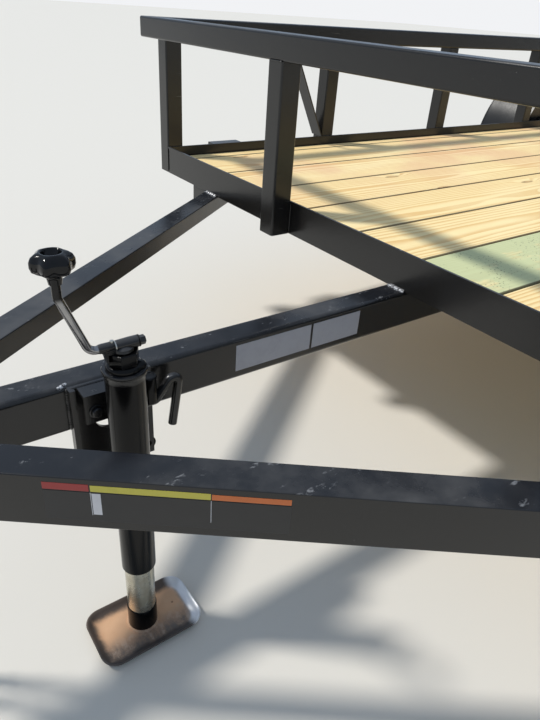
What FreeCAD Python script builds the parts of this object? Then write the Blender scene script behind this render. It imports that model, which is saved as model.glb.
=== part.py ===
import FreeCAD, Part
import math
import os

# Single-axle utility trailer with a plank deck, a tube rail on posts, a three-tube tongue,
# a swivel jack and a rear ramp gate. X points forward along the tongue, Y to the left side
# and Z up. The origin is on the ground under the middle of the whole trailer.

SIZES = [
    # frame and deck
    ("frame_top", 533), ("bed_long", 3658), ("bed_wide", 1956),
    ("rail_high", 76), ("rail_leg", 51), ("rail_wall", 5), ("weld_seat", 4),
    ("cross_start", 10), ("cross_leg", 51), ("cross_wall", 5),
    ("board_wide", 181.7), ("board_gap", 3), ("board_thick", 38), ("board_round", 4),
    ("strip_least", 28), ("board_end_gap", 2),
    # posts and top rails
    ("post_side", 51), ("post_wall", 3), ("post_round", 5), ("post_pitch", 610),
    ("post_least_gap", 40),
    ("front_post_place", 381), ("side_high", 342),
    ("brace_thick", 5), ("brace_reach", 150),
    # tongue
    ("tongue_wide", 51), ("tongue_high", 76), ("tongue_wall", 5), ("tongue_round", 8),
    ("arm_edge", 2),
    ("tongue_long", 1150), ("arm_in", 259), ("arm_meet", 947.3), ("under_set", 160),
    ("under_in", 25), ("under_side", 51), ("block_in", 150),
    # coupler
    ("ball_ahead", 88), ("ball_high", 425), ("socket_bore", 25.8), ("socket_outer", 33),
    ("coupler_wall", 5), ("coupler_grip", 170), ("coupler_skirt", 58), ("throat_gap", 2),
    ("latch_front", 8), ("latch_long", 34), ("latch_half", 10), ("latch_high", 22),
    ("lever_back", 60), ("lever_long", 112), ("lever_half", 13), ("lever_thick", 7),
    ("lever_end", 6), ("lever_grip_half", 22),
    ("chain_bar", 7), ("chain_inner", 26), ("chain_wide", 27), ("chain_links", 9),
    ("chain_back", 235), ("chain_play", 0.4), ("chain_tab", 6),
    ("chain_hole", 8.5), ("chain_seat", 1),
    # jack
    ("jack_place", 611), ("jack_side", 101), ("jack_swivel_high", 416),
    ("jack_outer", 26.5), ("jack_wall", 3), ("jack_low", 148), ("jack_top", 499.5),
    ("pivot_outer", 13.5), ("pivot_out", 11), ("mount_gap", 0.5),
    ("mount_high", 158.5), ("mount_rise", 40.5), ("mount_rear", 67), ("mount_front", 56),
    ("mount_wall", 6), ("mount_lip", 8), ("mount_hole", 23), ("hole_under", 20),
    ("hood_rear", 41), ("hood_front", 44), ("hood_out", 28.5), ("hood_wall", 5), ("hood_apron", 46),
    ("cap_rise", 15), ("cap_outer", 29.5), ("head_outer", 20.5), ("barrel_rise", 32.5),
    ("crank_hub", 14), ("crank_shaft", 8), ("shaft_long", 10),
    ("barrel_outer", 8), ("barrel_rear", 30), ("barrel_front", 10), ("crank_bar", 5.5),
    ("crank_out", 41), ("crank_reach", 72), ("crank_rise", 79), ("crank_stem", 28), ("knob_outer", 25),
    ("knob_high", 27), ("knob_skirt", 11),
    ("ram_outer", 23), ("ram_high", 330), ("foot_long", 178), ("foot_wide", 114),
    ("foot_high", 15), ("foot_wall", 4), ("foot_round", 24), ("foot_collar", 28),
    ("foot_shift", 6), ("pin_bar", 6.5), ("pin_out", 18), ("pin_under", 7),
    ("pin_reach", 61), ("pin_bow", 101), ("pin_bow_rise", 38), ("pin_tail", 90), ("pin_drop", 53),
    # axle, springs and wheels
    ("axle_place", 2311), ("hub_high", 344), ("axle_outer", 30), ("axle_in", 95),
    ("spindle_outer", 16), ("spindle_out", 23), ("spindle_play", 0.5),
    ("spring_in", 30), ("spring_wide", 45), ("spring_half", 320), ("spring_sag", 62),
    ("leaf_thick", 7), ("leaf_step", 72), ("leaf_count", 4), ("eye_outer", 15),
    ("eye_bolt", 7), ("hanger_wall", 5), ("hanger_half", 24), ("spring_pad", 6),
    ("clamp_bolt", 5), ("clamp_plate", 8), ("clamp_half", 52), ("clamp_half_wide", 43),
    ("tyre_outer", 344), ("tyre_wide", 203), ("tyre_round", 42), ("tread_wall", 17),
    ("sidewall", 36), ("rim_outer", 190), ("rim_wide", 152), ("rim_wall", 5),
    ("rim_windows", 8), ("window_outer", 20), ("tyre_clear", 22.5), ("hub_gap", 4),
    ("disc_wall", 6), ("disc_out", 14), ("hub_outer", 46), ("hub_flange", 70),
    ("flange_thick", 9), ("cap_radius", 30), ("cap_long", 38), ("lug_circle", 57.15),
    ("lug_radius", 9), ("lug_high", 20), ("lug_count", 5),
    ("fender_outer", 406), ("fender_wall", 3), ("fender_wide", 241), ("fender_drop", 40),
    ("fender_lip", 4), ("fender_stay", 40), ("stay_thick", 6), ("stay_play", 0.3),
    # lamps
    ("marker_place", 165), ("marker_long", 105), ("marker_deep", 42), ("marker_high", 58),
    ("tail_wide", 178), ("tail_high", 92), ("tail_deep", 64), ("tail_wall", 3),
    ("lamp_inset", 8), ("lens_round", 6), ("marker_low", 2), ("tail_under", 4),
    # ramp gate
    ("gate_gap", 6), ("gate_tube", 38), ("gate_wall", 3), ("gate_round", 4),
    ("gate_clear", 12), ("gate_high", 1200), ("gate_low", 513), ("gate_bars", 3),
    ("mesh_thick", 3), ("mesh_bar", 12), ("mesh_columns", 12), ("mesh_rows", 8),
    ("hinge_back", 35), ("hinge_high", 480), ("hinge_pin", 8),
    ("hinge_play", 0.3), ("hinge_outer", 14), ("hinge_wide", 60), ("hinge_lug", 8),
    ("hinge_gap", 1), ("hinge_pitch", 620), ("latch_rise", 270), ("latch_pin", 8), ("latch_slot", 28),
    ("latch_plate", 6),
]

# places worked out from the sizes
REAR_REACH = "(Sizes.hinge_back + Sizes.hinge_outer)"
FRONT_REACH = "(Sizes.tongue_long + Sizes.ball_ahead + Sizes.socket_outer)"
BED_FRONT = f"((Sizes.bed_long + {REAR_REACH} - {FRONT_REACH}) / 2)"
BED_REAR = f"({BED_FRONT} - Sizes.bed_long)"
RAIL_LOW = "(Sizes.frame_top - Sizes.rail_high)"
LEG_TOP = f"({RAIL_LOW} + Sizes.rail_wall)"
FLANGE_TOP = f"({LEG_TOP} + Sizes.cross_wall)"
DECK_TOP = f"({FLANGE_TOP} + Sizes.board_thick)"
BED_HALF = "(Sizes.bed_wide / 2)"
UNDER_HALF = f"({BED_HALF} - Sizes.under_in)"
ARM_FOOT = f"({BED_HALF} - Sizes.arm_in)"
GATE_HALF = f"({BED_HALF} - Sizes.gate_clear)"
POST_OUT = f"({BED_HALF} + Sizes.post_side)"
WHEEL_Y = f"({POST_OUT} + Sizes.tyre_clear + Sizes.tyre_wide / 2)"
AXLE_HALF = f"({WHEEL_Y} - Sizes.axle_in)"
SPINDLE_END = f"({WHEEL_Y} + Sizes.spindle_out)"
RAIL_UNDER = "(Sizes.frame_top + Sizes.side_high - Sizes.post_side)"
AXLE_X = f"({BED_FRONT} - Sizes.axle_place)"
JACK_X = f"({BED_FRONT} + Sizes.jack_place)"
BALL_X = f"({BED_FRONT} + Sizes.tongue_long + Sizes.ball_ahead)"
TONGUE_LOW = f"({RAIL_LOW} - Sizes.tongue_high)"
SPRING_TOP = "(Sizes.hub_high - Sizes.axle_outer - Sizes.spring_pad)"
SPRING_RADIUS = "((Sizes.spring_half^2 + Sizes.spring_sag^2) / (2 * Sizes.spring_sag))"
SPRING_CENTRE = f"({SPRING_TOP} + {SPRING_RADIUS})"
EYE_Z = f"({SPRING_TOP} + Sizes.spring_sag + Sizes.eye_outer - Sizes.leaf_thick)"
HINGE_X = f"({BED_REAR} - Sizes.hinge_back)"
GATE_X = f"({BED_REAR} - Sizes.gate_gap - Sizes.gate_tube)"
SIDES = [("left", 1), ("right", -1)]

doc = FreeCAD.newDocument("UtilityTrailer")
sheet = doc.addObject("Spreadsheet::Sheet", "Sizes")
for row, (alias, value) in enumerate(SIZES, start=1):
    sheet.set(f"A{row}", alias.replace("_", " "))
    sheet.set(f"B{row}", str(value))
    sheet.setAlias(f"B{row}", alias)
doc.recompute()
PIECES = []


def size(alias):
    """The value of one cell of the sheet."""
    return float(sheet.get(alias))


def bind(thing, **formulas):
    """Bind properties of an object to formulas of the sheet's cells."""
    for name, formula in formulas.items():
        thing.setExpression(name, formula)
    return thing


def place(thing, x="0", y="0", z="0"):
    """Bind the place of an object's own origin."""
    for axis, formula in (("x", x), ("y", y), ("z", z)):
        thing.setExpression(f"Placement.Base.{axis}", formula)
    return thing


def box(name, sizes, at):
    """A block with its low corner at the place given."""
    thing = doc.addObject("Part::Box", name)
    bind(thing, Length=sizes[0], Width=sizes[1], Height=sizes[2])
    return place(thing, *at)


def mirrored(sign, inner, wide):
    """Where a block starts along Y when it lies from inner outwards on one side."""
    return inner if sign > 0 else f"-({inner}) - ({wide})"


TURNS = {"X": FreeCAD.Vector(1, 0, 0), "Y": FreeCAD.Vector(0, 1, 0), "Z": FreeCAD.Vector(0, 0, 1)}


def rod(name, radius, long, at, along="Z"):
    """A round bar that starts at the place given and runs along one axis."""
    thing = doc.addObject("Part::Cylinder", name)
    bind(thing, Radius=radius, Height=long)
    turn = FreeCAD.Rotation(TURNS["Z"], TURNS[along])
    thing.Placement = FreeCAD.Placement(FreeCAD.Vector(0, 0, 0), turn)
    return place(thing, *at)


def ball(name, radius, at):
    """A round joint between two bars."""
    thing = doc.addObject("Part::Sphere", name)
    bind(thing, Radius=radius)
    return place(thing, *at)


def fuse(name, shapes):
    """One solid from several that meet."""
    thing = doc.addObject("Part::MultiFuse", name)
    thing.Shapes = shapes
    thing.Refine = True
    return thing


def cut(name, base, tool):
    """The base without the tool."""
    thing = doc.addObject("Part::Cut", name)
    thing.Base = base
    thing.Tool = tool
    return thing


def common(name, base, tool):
    """What the base and the tool share."""
    thing = doc.addObject("Part::Common", name)
    thing.Base = base
    thing.Tool = tool
    return thing


def group(name, shapes):
    """Separate solids that one node holds."""
    thing = doc.addObject("Part::Compound", name)
    thing.Links = shapes
    return thing


def piece(node, thing):
    """Name a sub-part and list it for export."""
    thing.Label = node
    PIECES.append(thing)
    return thing


def rounded_block(body, name, sizes, round_formula, along):
    """A block of a body with its long edges rounded."""
    block = body.newObject("PartDesign::AdditiveBox", name)
    bind(block, Length=sizes[0], Width=sizes[1], Height=sizes[2])
    doc.recompute()
    long_edges = []
    for number, edge in enumerate(block.Shape.Edges, start=1):
        if abs(edge.tangentAt(edge.FirstParameter).dot(TURNS[along])) > 0.99:
            long_edges.append(f"Edge{number}")
    rounding = body.newObject("PartDesign::Fillet", name + "Round")
    rounding.Base = (block, long_edges)
    bind(rounding, Radius=round_formula)
    return rounding


def plank(name, sizes, round_formula, along, at):
    """A solid bar with rounded long edges."""
    body = doc.addObject("PartDesign::Body", name)
    rounded_block(body, name + "Bar", sizes, round_formula, along)
    return place(body, *at)


def tube(name, sizes, wall, round_formula, along, at):
    """A hollow square tube, open at both ends."""
    body = doc.addObject("PartDesign::Body", name)
    rounded_block(body, name + "Wall", sizes, round_formula, along)
    hollow = body.newObject("PartDesign::SubtractiveBox", name + "Hollow")
    inner = []
    for axis, formula in zip("XYZ", sizes):
        inner.append(formula if axis == along else f"{formula} - 2 * {wall}")
    bind(hollow, Length=inner[0], Width=inner[1], Height=inner[2])
    place(hollow, *["0" if axis == along else wall for axis in "XYZ"])
    return place(body, *at)


def bent_rod(name, radius, points):
    """A round bar through points, each a triple of formulas, with balls at its bends."""
    doc.recompute()
    parts = []
    for number, (start, end) in enumerate(zip(points, points[1:])):
        run = doc.addObject("Part::Cylinder", f"{name}Run{number}")
        delta = [f"(({b}) - ({a}))" for a, b in zip(start, end)]
        bind(run, Radius=radius, Height="sqrt({0}^2 + {1}^2 + {2}^2)".format(*delta))
        place(run, *start)
        ends = [run.evalExpression(d) for d in delta]
        numbers = [float(getattr(e, "Value", e)) for e in ends]
        run.Placement.Rotation = FreeCAD.Rotation(TURNS["Z"], FreeCAD.Vector(*numbers))
        parts.append(run)
    for number, point in enumerate(points[1:-1]):
        parts.append(ball(f"{name}Bend{number}", radius, point))
    return fuse(name, parts)


def make_rails():
    """Angle rails round the deck, and the angle crossmembers that carry the boards."""
    long_inside = "Sizes.bed_long - 2 * Sizes.rail_wall"
    inner_wide = "Sizes.bed_wide - 2 * Sizes.rail_wall"
    leg = "Sizes.rail_leg - Sizes.rail_wall"
    sill_high = f"{DECK_TOP} - {RAIL_LOW}"
    # each end rail: node, rear face of its wall, rear face of its leg, height
    ends = [
        ("front_rail", f"{BED_FRONT} - Sizes.rail_wall", f"{BED_FRONT} - Sizes.rail_leg", "Sizes.rail_high"),
        ("rear_sill", BED_REAR, f"{BED_REAR} + Sizes.rail_wall", sill_high),
    ]
    for node, wall_x, leg_x, high in ends:
        wall = box(node + "Wall", ("Sizes.rail_wall", "Sizes.bed_wide", high),
                   (wall_x, f"-{BED_HALF}", RAIL_LOW))
        foot = box(node + "Leg", (leg, inner_wide, "Sizes.rail_wall"),
                   (leg_x, f"-{BED_HALF} + Sizes.rail_wall", RAIL_LOW))
        piece(node, fuse(node, [wall, foot]))
    for side, sign in SIDES:
        wall = box(f"SideWall{side}", (long_inside, "Sizes.rail_wall", "Sizes.rail_high"),
                   (f"{BED_REAR} + Sizes.rail_wall",
                    mirrored(sign, f"{BED_HALF} - Sizes.rail_wall", "Sizes.rail_wall"), RAIL_LOW))
        foot = box(f"SideLeg{side}", ("Sizes.bed_long - 2 * Sizes.rail_leg", leg, "Sizes.rail_wall"),
                   (f"{BED_REAR} + Sizes.rail_leg",
                    mirrored(sign, f"{BED_HALF} - Sizes.rail_leg", leg), RAIL_LOW))
        piece(f"side_rail_{side}", fuse(f"SideRail{side}", [wall, foot]))


def make_crossmembers():
    """Angles across the frame: the flange under the boards, the leg hanging below."""
    flange_wide = "Sizes.bed_wide - 2 * Sizes.rail_wall"
    leg_wide = "Sizes.bed_wide - 2 * Sizes.rail_leg"
    last = int(size("bed_long") // size("post_pitch"))
    # distance of the flange's front edge behind the bed's front, and whether the leg is at its front
    rows = [(f"{number} * Sizes.post_pitch", False) for number in range(1, last)]
    rows += [("Sizes.bed_long - Sizes.cross_start - Sizes.cross_leg", True)]
    # the boards' front ends lie on a flat bar, as the tongue's tubes pass under the front rail
    angles = [box("CrossFront", ("Sizes.cross_leg", flange_wide, "Sizes.cross_wall"),
                  (f"{BED_FRONT} - Sizes.cross_start - Sizes.cross_leg", f"-({flange_wide}) / 2",
                   LEG_TOP))]
    for number, (back, flipped) in enumerate(rows):
        low_x = f"{BED_FRONT} - ({back}) - Sizes.cross_leg"
        leg_x = f"{low_x} + Sizes.cross_leg - Sizes.cross_wall" if flipped else low_x
        flange = box(f"CrossFlange{number}", ("Sizes.cross_leg", flange_wide, "Sizes.cross_wall"),
                     (low_x, f"-({flange_wide}) / 2", LEG_TOP))
        leg = box(f"CrossLeg{number}", ("Sizes.cross_wall", leg_wide, "Sizes.cross_leg - Sizes.cross_wall"),
                  (leg_x, f"-({leg_wide}) / 2", f"{FLANGE_TOP} - Sizes.cross_leg"))
        angles.append(fuse(f"Cross{number}", [flange, leg]))
    piece("crossmembers", group("Crossmembers", angles))


def make_deck():
    """Planks that run lengthwise, with a narrow strip along each side."""
    pitch = "(Sizes.board_wide + Sizes.board_gap)"
    long = "Sizes.bed_long - 2 * Sizes.rail_wall - 2 * Sizes.board_end_gap"
    low_x = f"{BED_REAR} + Sizes.rail_wall + Sizes.board_end_gap"
    inside = size("bed_wide") - 2 * size("rail_wall") - 2 * size("strip_least")
    full = int(inside // (size("board_wide") + size("board_gap")))
    boards = []
    for number in range(full):
        low_y = f"({number} - {full} / 2) * {pitch} + Sizes.board_gap / 2"
        boards.append(plank(f"Board{number}", (long, "Sizes.board_wide", "Sizes.board_thick"),
                            "Sizes.board_round", "X", (low_x, low_y, FLANGE_TOP)))
    strip_in = f"({full} * {pitch} / 2 + Sizes.board_gap / 2)"
    strip_wide = f"({BED_HALF} - Sizes.rail_wall - Sizes.board_gap - {strip_in})"
    for side, sign in SIDES:
        boards.append(plank(f"Strip{side}", (long, strip_wide, "Sizes.board_thick"), "Sizes.board_round", "X",
                            (low_x, mirrored(sign, strip_in, strip_wide), FLANGE_TOP)))
    piece("deck_boards", group("DeckBoards", boards))


def make_posts():
    """Square posts outside the frame, with the rail tubes on top and two flat braces."""
    side = "Sizes.post_side"
    post_high = f"{RAIL_UNDER} - {RAIL_LOW}"

    def post(name, x, y):
        return tube(name, (side, side, post_high), "Sizes.post_wall", "Sizes.post_round", "Z",
                    (x, y, RAIL_LOW))

    corners = []
    for end, x in (("Front", f"{BED_FRONT} - {side}"), ("Rear", BED_REAR)):
        for hand, sign in SIDES:
            corners.append(post(f"Corner{end}{hand}", x, mirrored(sign, BED_HALF, side)))
    piece("corner_posts", group("CornerPosts", corners))
    fronts = []
    for hand, sign in SIDES:
        fronts.append(post(f"FrontPost{hand}", BED_FRONT,
                           mirrored(sign, f"(Sizes.front_post_place - {side} / 2)", side)))
    piece("front_posts", group("FrontPosts", fronts))
    room = size("bed_long") - 2 * size("post_side") - size("post_least_gap")
    count = int(room // size("post_pitch"))
    for hand, sign in SIDES:
        row = []
        for number in range(1, count + 1):
            row.append(post(f"SidePost{hand}{number}", f"{BED_FRONT} - {number} * Sizes.post_pitch - {side}",
                            mirrored(sign, BED_HALF, side)))
        piece(f"side_posts_{hand}", group(f"SidePosts{hand}", row))
        piece(f"top_rail_{hand}",
              tube(f"TopRail{hand}", ("Sizes.bed_long", side, side), "Sizes.post_wall", "Sizes.post_round",
                   "X", (BED_REAR, mirrored(sign, BED_HALF, side), RAIL_UNDER)))
    piece("top_rail_front",
          tube("TopRailFront", (side, f"2 * {POST_OUT}", side), "Sizes.post_wall", "Sizes.post_round", "Y",
               (BED_FRONT, f"-{POST_OUT}", RAIL_UNDER)))


def make_braces():
    """A flat bar on each side, from the foot of the first side post up and forward."""
    rise = f"({RAIL_UNDER} - Sizes.frame_top)"
    foot_x = f"({BED_FRONT} - Sizes.post_pitch)"
    braces = []
    for hand, sign in SIDES:
        bar = doc.addObject("Part::Wedge", f"Brace{hand}")
        # a leaning bar of even thickness: the top rectangle is the bottom one moved forward
        bind(bar, Xmin="0", Xmax="Sizes.brace_thick", Zmin="0", Zmax="Sizes.post_side",
             Ymin="0", Ymax=rise, X2min="Sizes.brace_reach",
             X2max="Sizes.brace_reach + Sizes.brace_thick", Z2min="0", Z2max="Sizes.post_side")
        bar.Placement = FreeCAD.Placement(FreeCAD.Vector(), FreeCAD.Rotation(TURNS["X"], 90))
        inner = f"-({mirrored(sign, BED_HALF, 'Sizes.post_side')}) - Sizes.post_side"
        place(bar, foot_x, f"-({inner})", "Sizes.frame_top")
        braces.append(bar)
    piece("side_braces", group("SideBraces", braces))


def make_tongue():
    """A centre tube and two angle arms that meet it, run back under the front rail to a cross tube."""
    back = f"{BED_FRONT} - Sizes.under_set"
    piece("under_cross_tube",
          tube("UnderCross", ("Sizes.under_side", f"2 * {UNDER_HALF}", "Sizes.under_side"),
               "Sizes.tongue_wall", "Sizes.post_round", "Y",
               (f"{back} - Sizes.under_side", f"-{UNDER_HALF}", f"{RAIL_LOW} - Sizes.under_side")))
    piece("tongue_center_tube",
          tube("TongueCenter",
               ("Sizes.tongue_long + Sizes.under_set", "Sizes.tongue_wide", "Sizes.tongue_high"),
               "Sizes.tongue_wall", "Sizes.tongue_round", "X", (back, "-Sizes.tongue_wide / 2", TONGUE_LOW)))
    spare = ARM_FOOT
    for hand, sign in SIDES:
        # an angle: one flange on top, one leg down its outer side
        body = doc.addObject("PartDesign::Body", f"ArmAngle{hand}")
        lengths = (f"3 * {spare}", "Sizes.tongue_wide", "Sizes.tongue_high")
        rounded_block(body, f"Arm{hand}Block", lengths, "Sizes.arm_edge", "X")
        hollow = body.newObject("PartDesign::SubtractiveBox", f"Arm{hand}Hollow")
        bind(hollow, Length=lengths[0], Width="Sizes.tongue_wide - Sizes.tongue_wall",
             Height="Sizes.tongue_high - Sizes.tongue_wall")
        place(hollow, "0", "0" if sign > 0 else "Sizes.tongue_wall", "0")
        # the body's corner is set back along the arm and half its width across it
        turn = f"{-sign} * atan({ARM_FOOT} / Sizes.arm_meet)"
        body.Placement = FreeCAD.Placement(FreeCAD.Vector(), FreeCAD.Rotation(TURNS["Z"], 1))
        body.setExpression("Placement.Rotation.Angle", turn)
        corner = (f"{BED_FRONT} - {spare} * cos({turn}) + Sizes.tongue_wide / 2 * sin({turn})",
                  f"{sign} * {ARM_FOOT} - {spare} * sin({turn}) - Sizes.tongue_wide / 2 * cos({turn})",
                  TONGUE_LOW)
        place(body, *corner)
        keep = box(f"ArmKeep{hand}",
                   ("Sizes.tongue_long + Sizes.under_set", "Sizes.bed_wide", "Sizes.tongue_high"),
                   (back, mirrored(sign, "Sizes.tongue_wide / 2", "Sizes.bed_wide"), TONGUE_LOW))
        piece(f"tongue_arm_{hand}", common(f"Arm{hand}", body, keep))
        # a short tube under the rail, cut to lie against the arm's outer side
        inner = f"({ARM_FOOT} + Sizes.tongue_wide / 2)"
        stub_long = f"({BED_HALF} - Sizes.block_in - {inner})"
        stub = tube(f"BlockStub{hand}", ("Sizes.under_side", stub_long, "Sizes.under_side"),
                    "Sizes.tongue_wall", "Sizes.post_round", "Y",
                    (f"{BED_FRONT} - Sizes.weld_seat - Sizes.under_side",
                     mirrored(sign, inner, stub_long), f"{RAIL_LOW} - Sizes.under_side"))
        beside = box(f"BlockBeside{hand}", lengths, corner)
        beside.Placement.Rotation = FreeCAD.Rotation(TURNS["Z"], 1)
        beside.setExpression("Placement.Rotation.Angle", turn)
        piece(f"arm_block_{hand}", cut(f"ArmBlock{hand}", stub, beside))


def make_coupler():
    """A pressed straight coupler with a ball socket, its latch lever, and short safety chains."""
    end = f"({BED_FRONT} + Sizes.tongue_long)"
    half = "(Sizes.tongue_wide / 2)"
    top = f"({RAIL_LOW} + Sizes.coupler_wall)"
    grip = "Sizes.coupler_grip"
    lid = box("CouplerLid", (f"{BALL_X} - {end} + {grip}", f"2 * {half} + 2 * Sizes.coupler_wall",
                             "Sizes.coupler_wall"),
              (f"{end} - {grip}", f"-{half} - Sizes.coupler_wall", RAIL_LOW))
    sides = []
    for hand, sign in SIDES:
        sides.append(box(f"CouplerSide{hand}",
                         (f"{BALL_X} - {end} + {grip}", "Sizes.coupler_wall", "Sizes.coupler_skirt"),
                         (f"{end} - {grip}", mirrored(sign, half, "Sizes.coupler_wall"),
                          f"{RAIL_LOW} - Sizes.coupler_skirt")))
    throat = box("CouplerThroat",
                 (f"{BALL_X} - {end} - Sizes.throat_gap", f"2 * {half}", "Sizes.coupler_skirt"),
                 (f"{end} + Sizes.throat_gap", f"-{half}", f"{RAIL_LOW} - Sizes.coupler_skirt"))
    wall = rod("SocketWall", "Sizes.socket_outer", f"{RAIL_LOW} - Sizes.ball_high + Sizes.coupler_skirt / 2",
               (BALL_X, "0", "Sizes.ball_high - Sizes.coupler_skirt / 2"))
    dome = ball("SocketDome", "Sizes.socket_outer", (BALL_X, "0", "Sizes.ball_high + Sizes.coupler_wall"))
    shell = fuse("CouplerShell", [lid, throat, wall, dome] + sides)
    seat = ball("BallSeat", "Sizes.socket_bore", (BALL_X, "0", "Sizes.ball_high"))
    mouth = rod("BallMouth", "Sizes.socket_bore", "Sizes.coupler_skirt",
                (BALL_X, "0", "Sizes.ball_high - Sizes.coupler_skirt"))
    piece("coupler", cut("Coupler", shell, fuse("BallSpace", [seat, mouth])))
    lever_x = f"({end} - Sizes.lever_back)"
    lever_z = f"({top} + Sizes.latch_high)"
    stand = box("LatchStand", ("Sizes.latch_long", "2 * Sizes.latch_half", "Sizes.latch_high"),
                (f"{end} + Sizes.latch_front", "-Sizes.latch_half", top))
    lever = box("LatchLever", ("Sizes.lever_long", "2 * Sizes.lever_half", "Sizes.lever_thick"),
                (lever_x, "-Sizes.lever_half", lever_z))
    grip_end = rod("LatchGrip", "Sizes.lever_end", "2 * Sizes.lever_grip_half",
                   (lever_x, "-Sizes.lever_grip_half", f"{lever_z} + Sizes.lever_thick / 2"), "Y")
    piece("coupler_latch", fuse("CouplerLatch", [stand, lever, grip_end]))


def make_chains():
    """Two short chains of open links that hang from a tab under the tongue."""
    tab_x = f"({BED_FRONT} + Sizes.tongue_long - Sizes.chain_back)"
    tab_high = "(Sizes.chain_inner + Sizes.chain_bar)"
    tab = box("ChainTab", ("2 * Sizes.tongue_wide", "Sizes.chain_tab", tab_high),
              (tab_x, "-Sizes.chain_tab / 2", f"{TONGUE_LOW} - {tab_high}"))
    holes = []
    for number in range(2):
        x = f"{tab_x} + Sizes.tongue_wide * ({number} + 0.5)"
        holes.append(rod(f"ChainHole{number}", "Sizes.chain_hole", "2 * Sizes.chain_tab",
                         (x, "-Sizes.chain_tab", f"{TONGUE_LOW} - {tab_high} / 2"), "Y"))
    piece("chain_tab", cut("ChainTabCut", tab, fuse("ChainHoles", holes)))
    bar = size("chain_bar") / 2
    straight = size("chain_inner") / 2 - (size("chain_wide") - 2 * size("chain_bar")) / 2
    bend = size("chain_wide") / 2 - bar
    # the link is a racetrack of bar, swept with a six-sided section: no primitive has that form
    path = Part.Wire([
        Part.LineSegment(FreeCAD.Vector(bend, 0, -straight), FreeCAD.Vector(bend, 0, straight)).toShape(),
        Part.Arc(FreeCAD.Vector(bend, 0, straight), FreeCAD.Vector(0, 0, straight + bend),
                 FreeCAD.Vector(-bend, 0, straight)).toShape(),
        Part.LineSegment(FreeCAD.Vector(-bend, 0, straight), FreeCAD.Vector(-bend, 0, -straight)).toShape(),
        Part.Arc(FreeCAD.Vector(-bend, 0, -straight), FreeCAD.Vector(0, 0, -straight - bend),
                 FreeCAD.Vector(bend, 0, -straight)).toShape(),
    ])
    corners = []
    for corner in range(7):
        angle = math.radians(60 * corner)
        corners.append(FreeCAD.Vector(bend + bar * math.cos(angle), bar * math.sin(angle), 0))
    section = Part.makePolygon(corners)
    link = path.makePipeShell([section], True, True)
    pitch = size("chain_inner") - size("chain_play")
    rear = size("bed_long") + size("hinge_back") + size("hinge_outer")
    front = (rear - size("tongue_long") - size("ball_ahead") - size("socket_outer")) / 2
    low = size("frame_top") - size("rail_high") - size("tongue_high")
    hole_low = low - (size("chain_inner") + size("chain_bar")) / 2 - size("chain_hole")
    first = hole_low + size("chain_seat") - size("chain_inner") / 2
    for number in range(2):
        x = front + size("tongue_long") - size("chain_back") + size("tongue_wide") * (number + 0.5)
        links = []
        for count in range(int(size("chain_links"))):
            thing = doc.addObject("Part::Feature", f"Link{number}x{count}")
            thing.Shape = link
            turn = FreeCAD.Rotation(TURNS["Z"], 90 * ((count + 1) % 2))
            thing.Placement = FreeCAD.Placement(FreeCAD.Vector(x, 0, first - pitch * count), turn)
            links.append(thing)
        piece(f"safety_chain_{number + 1}", group(f"Chain{number}", links))


def make_jack_mount():
    """The bracket on the centre tube's side, the pivot that the jack turns on, and the pull pin."""
    tube_side = "(Sizes.tongue_wide / 2)"
    plate_face = f"({tube_side} + Sizes.mount_wall)"
    top = "(Sizes.jack_swivel_high + Sizes.mount_rise)"
    low = f"({top} - Sizes.mount_high)"
    hood_x = f"({JACK_X} - Sizes.hood_rear)"
    hood_long = "(Sizes.hood_rear + Sizes.hood_front)"
    rear_high = "(Sizes.hood_apron + 3 * Sizes.pin_bar)"
    pivot_end = "(Sizes.jack_side - Sizes.jack_outer - Sizes.pivot_out - Sizes.mount_gap)"
    plate = box("MountBack", ("Sizes.mount_rear + Sizes.mount_front", "Sizes.mount_wall", "Sizes.mount_high"),
                (f"{JACK_X} - Sizes.mount_rear", tube_side, low))
    hole = rod("MountHole", "Sizes.mount_hole", "Sizes.mount_wall",
               (JACK_X, tube_side, "Sizes.jack_swivel_high - Sizes.hole_under"), "Y")
    parts = [
        cut("MountPlate", plate, hole),
        box("MountLip", ("Sizes.mount_lip", "Sizes.mount_lip", "Sizes.mount_high"),
            (f"{JACK_X} + Sizes.mount_front - Sizes.mount_lip", plate_face, low)),
        box("HoodRear", ("Sizes.hood_wall", "Sizes.hood_out", rear_high),
            (hood_x, plate_face, f"{top} - {rear_high}")),
        box("HoodTop", (hood_long, "Sizes.hood_out", "Sizes.hood_wall"),
            (hood_x, plate_face, f"{top} - Sizes.hood_wall")),
        box("HoodApron", (hood_long, "Sizes.hood_wall", "Sizes.hood_apron"),
            (hood_x, f"{plate_face} + Sizes.hood_out - Sizes.hood_wall", f"{top} - Sizes.hood_apron")),
        rod("MountPivot", "Sizes.pivot_outer", f"{pivot_end} - {tube_side}",
            (JACK_X, tube_side, "Sizes.jack_swivel_high"), "Y"),
    ]
    piece("jack_mount", fuse("JackMount", parts))
    pin_y = f"{plate_face} + Sizes.pin_out"
    pin_z = "(Sizes.jack_swivel_high - Sizes.pin_under)"
    points = [
        (hood_x, pin_y, pin_z),
        (f"{JACK_X} - Sizes.pin_reach", pin_y, pin_z),
        (f"{JACK_X} - Sizes.pin_bow", pin_y, f"{pin_z} + Sizes.pin_bow_rise"),
        (f"{JACK_X} - Sizes.pin_tail", pin_y, f"{pin_z} - Sizes.pin_drop"),
    ]
    piece("jack_pull_pin", bent_rod("PullPin", "Sizes.pin_bar", points))


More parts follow.
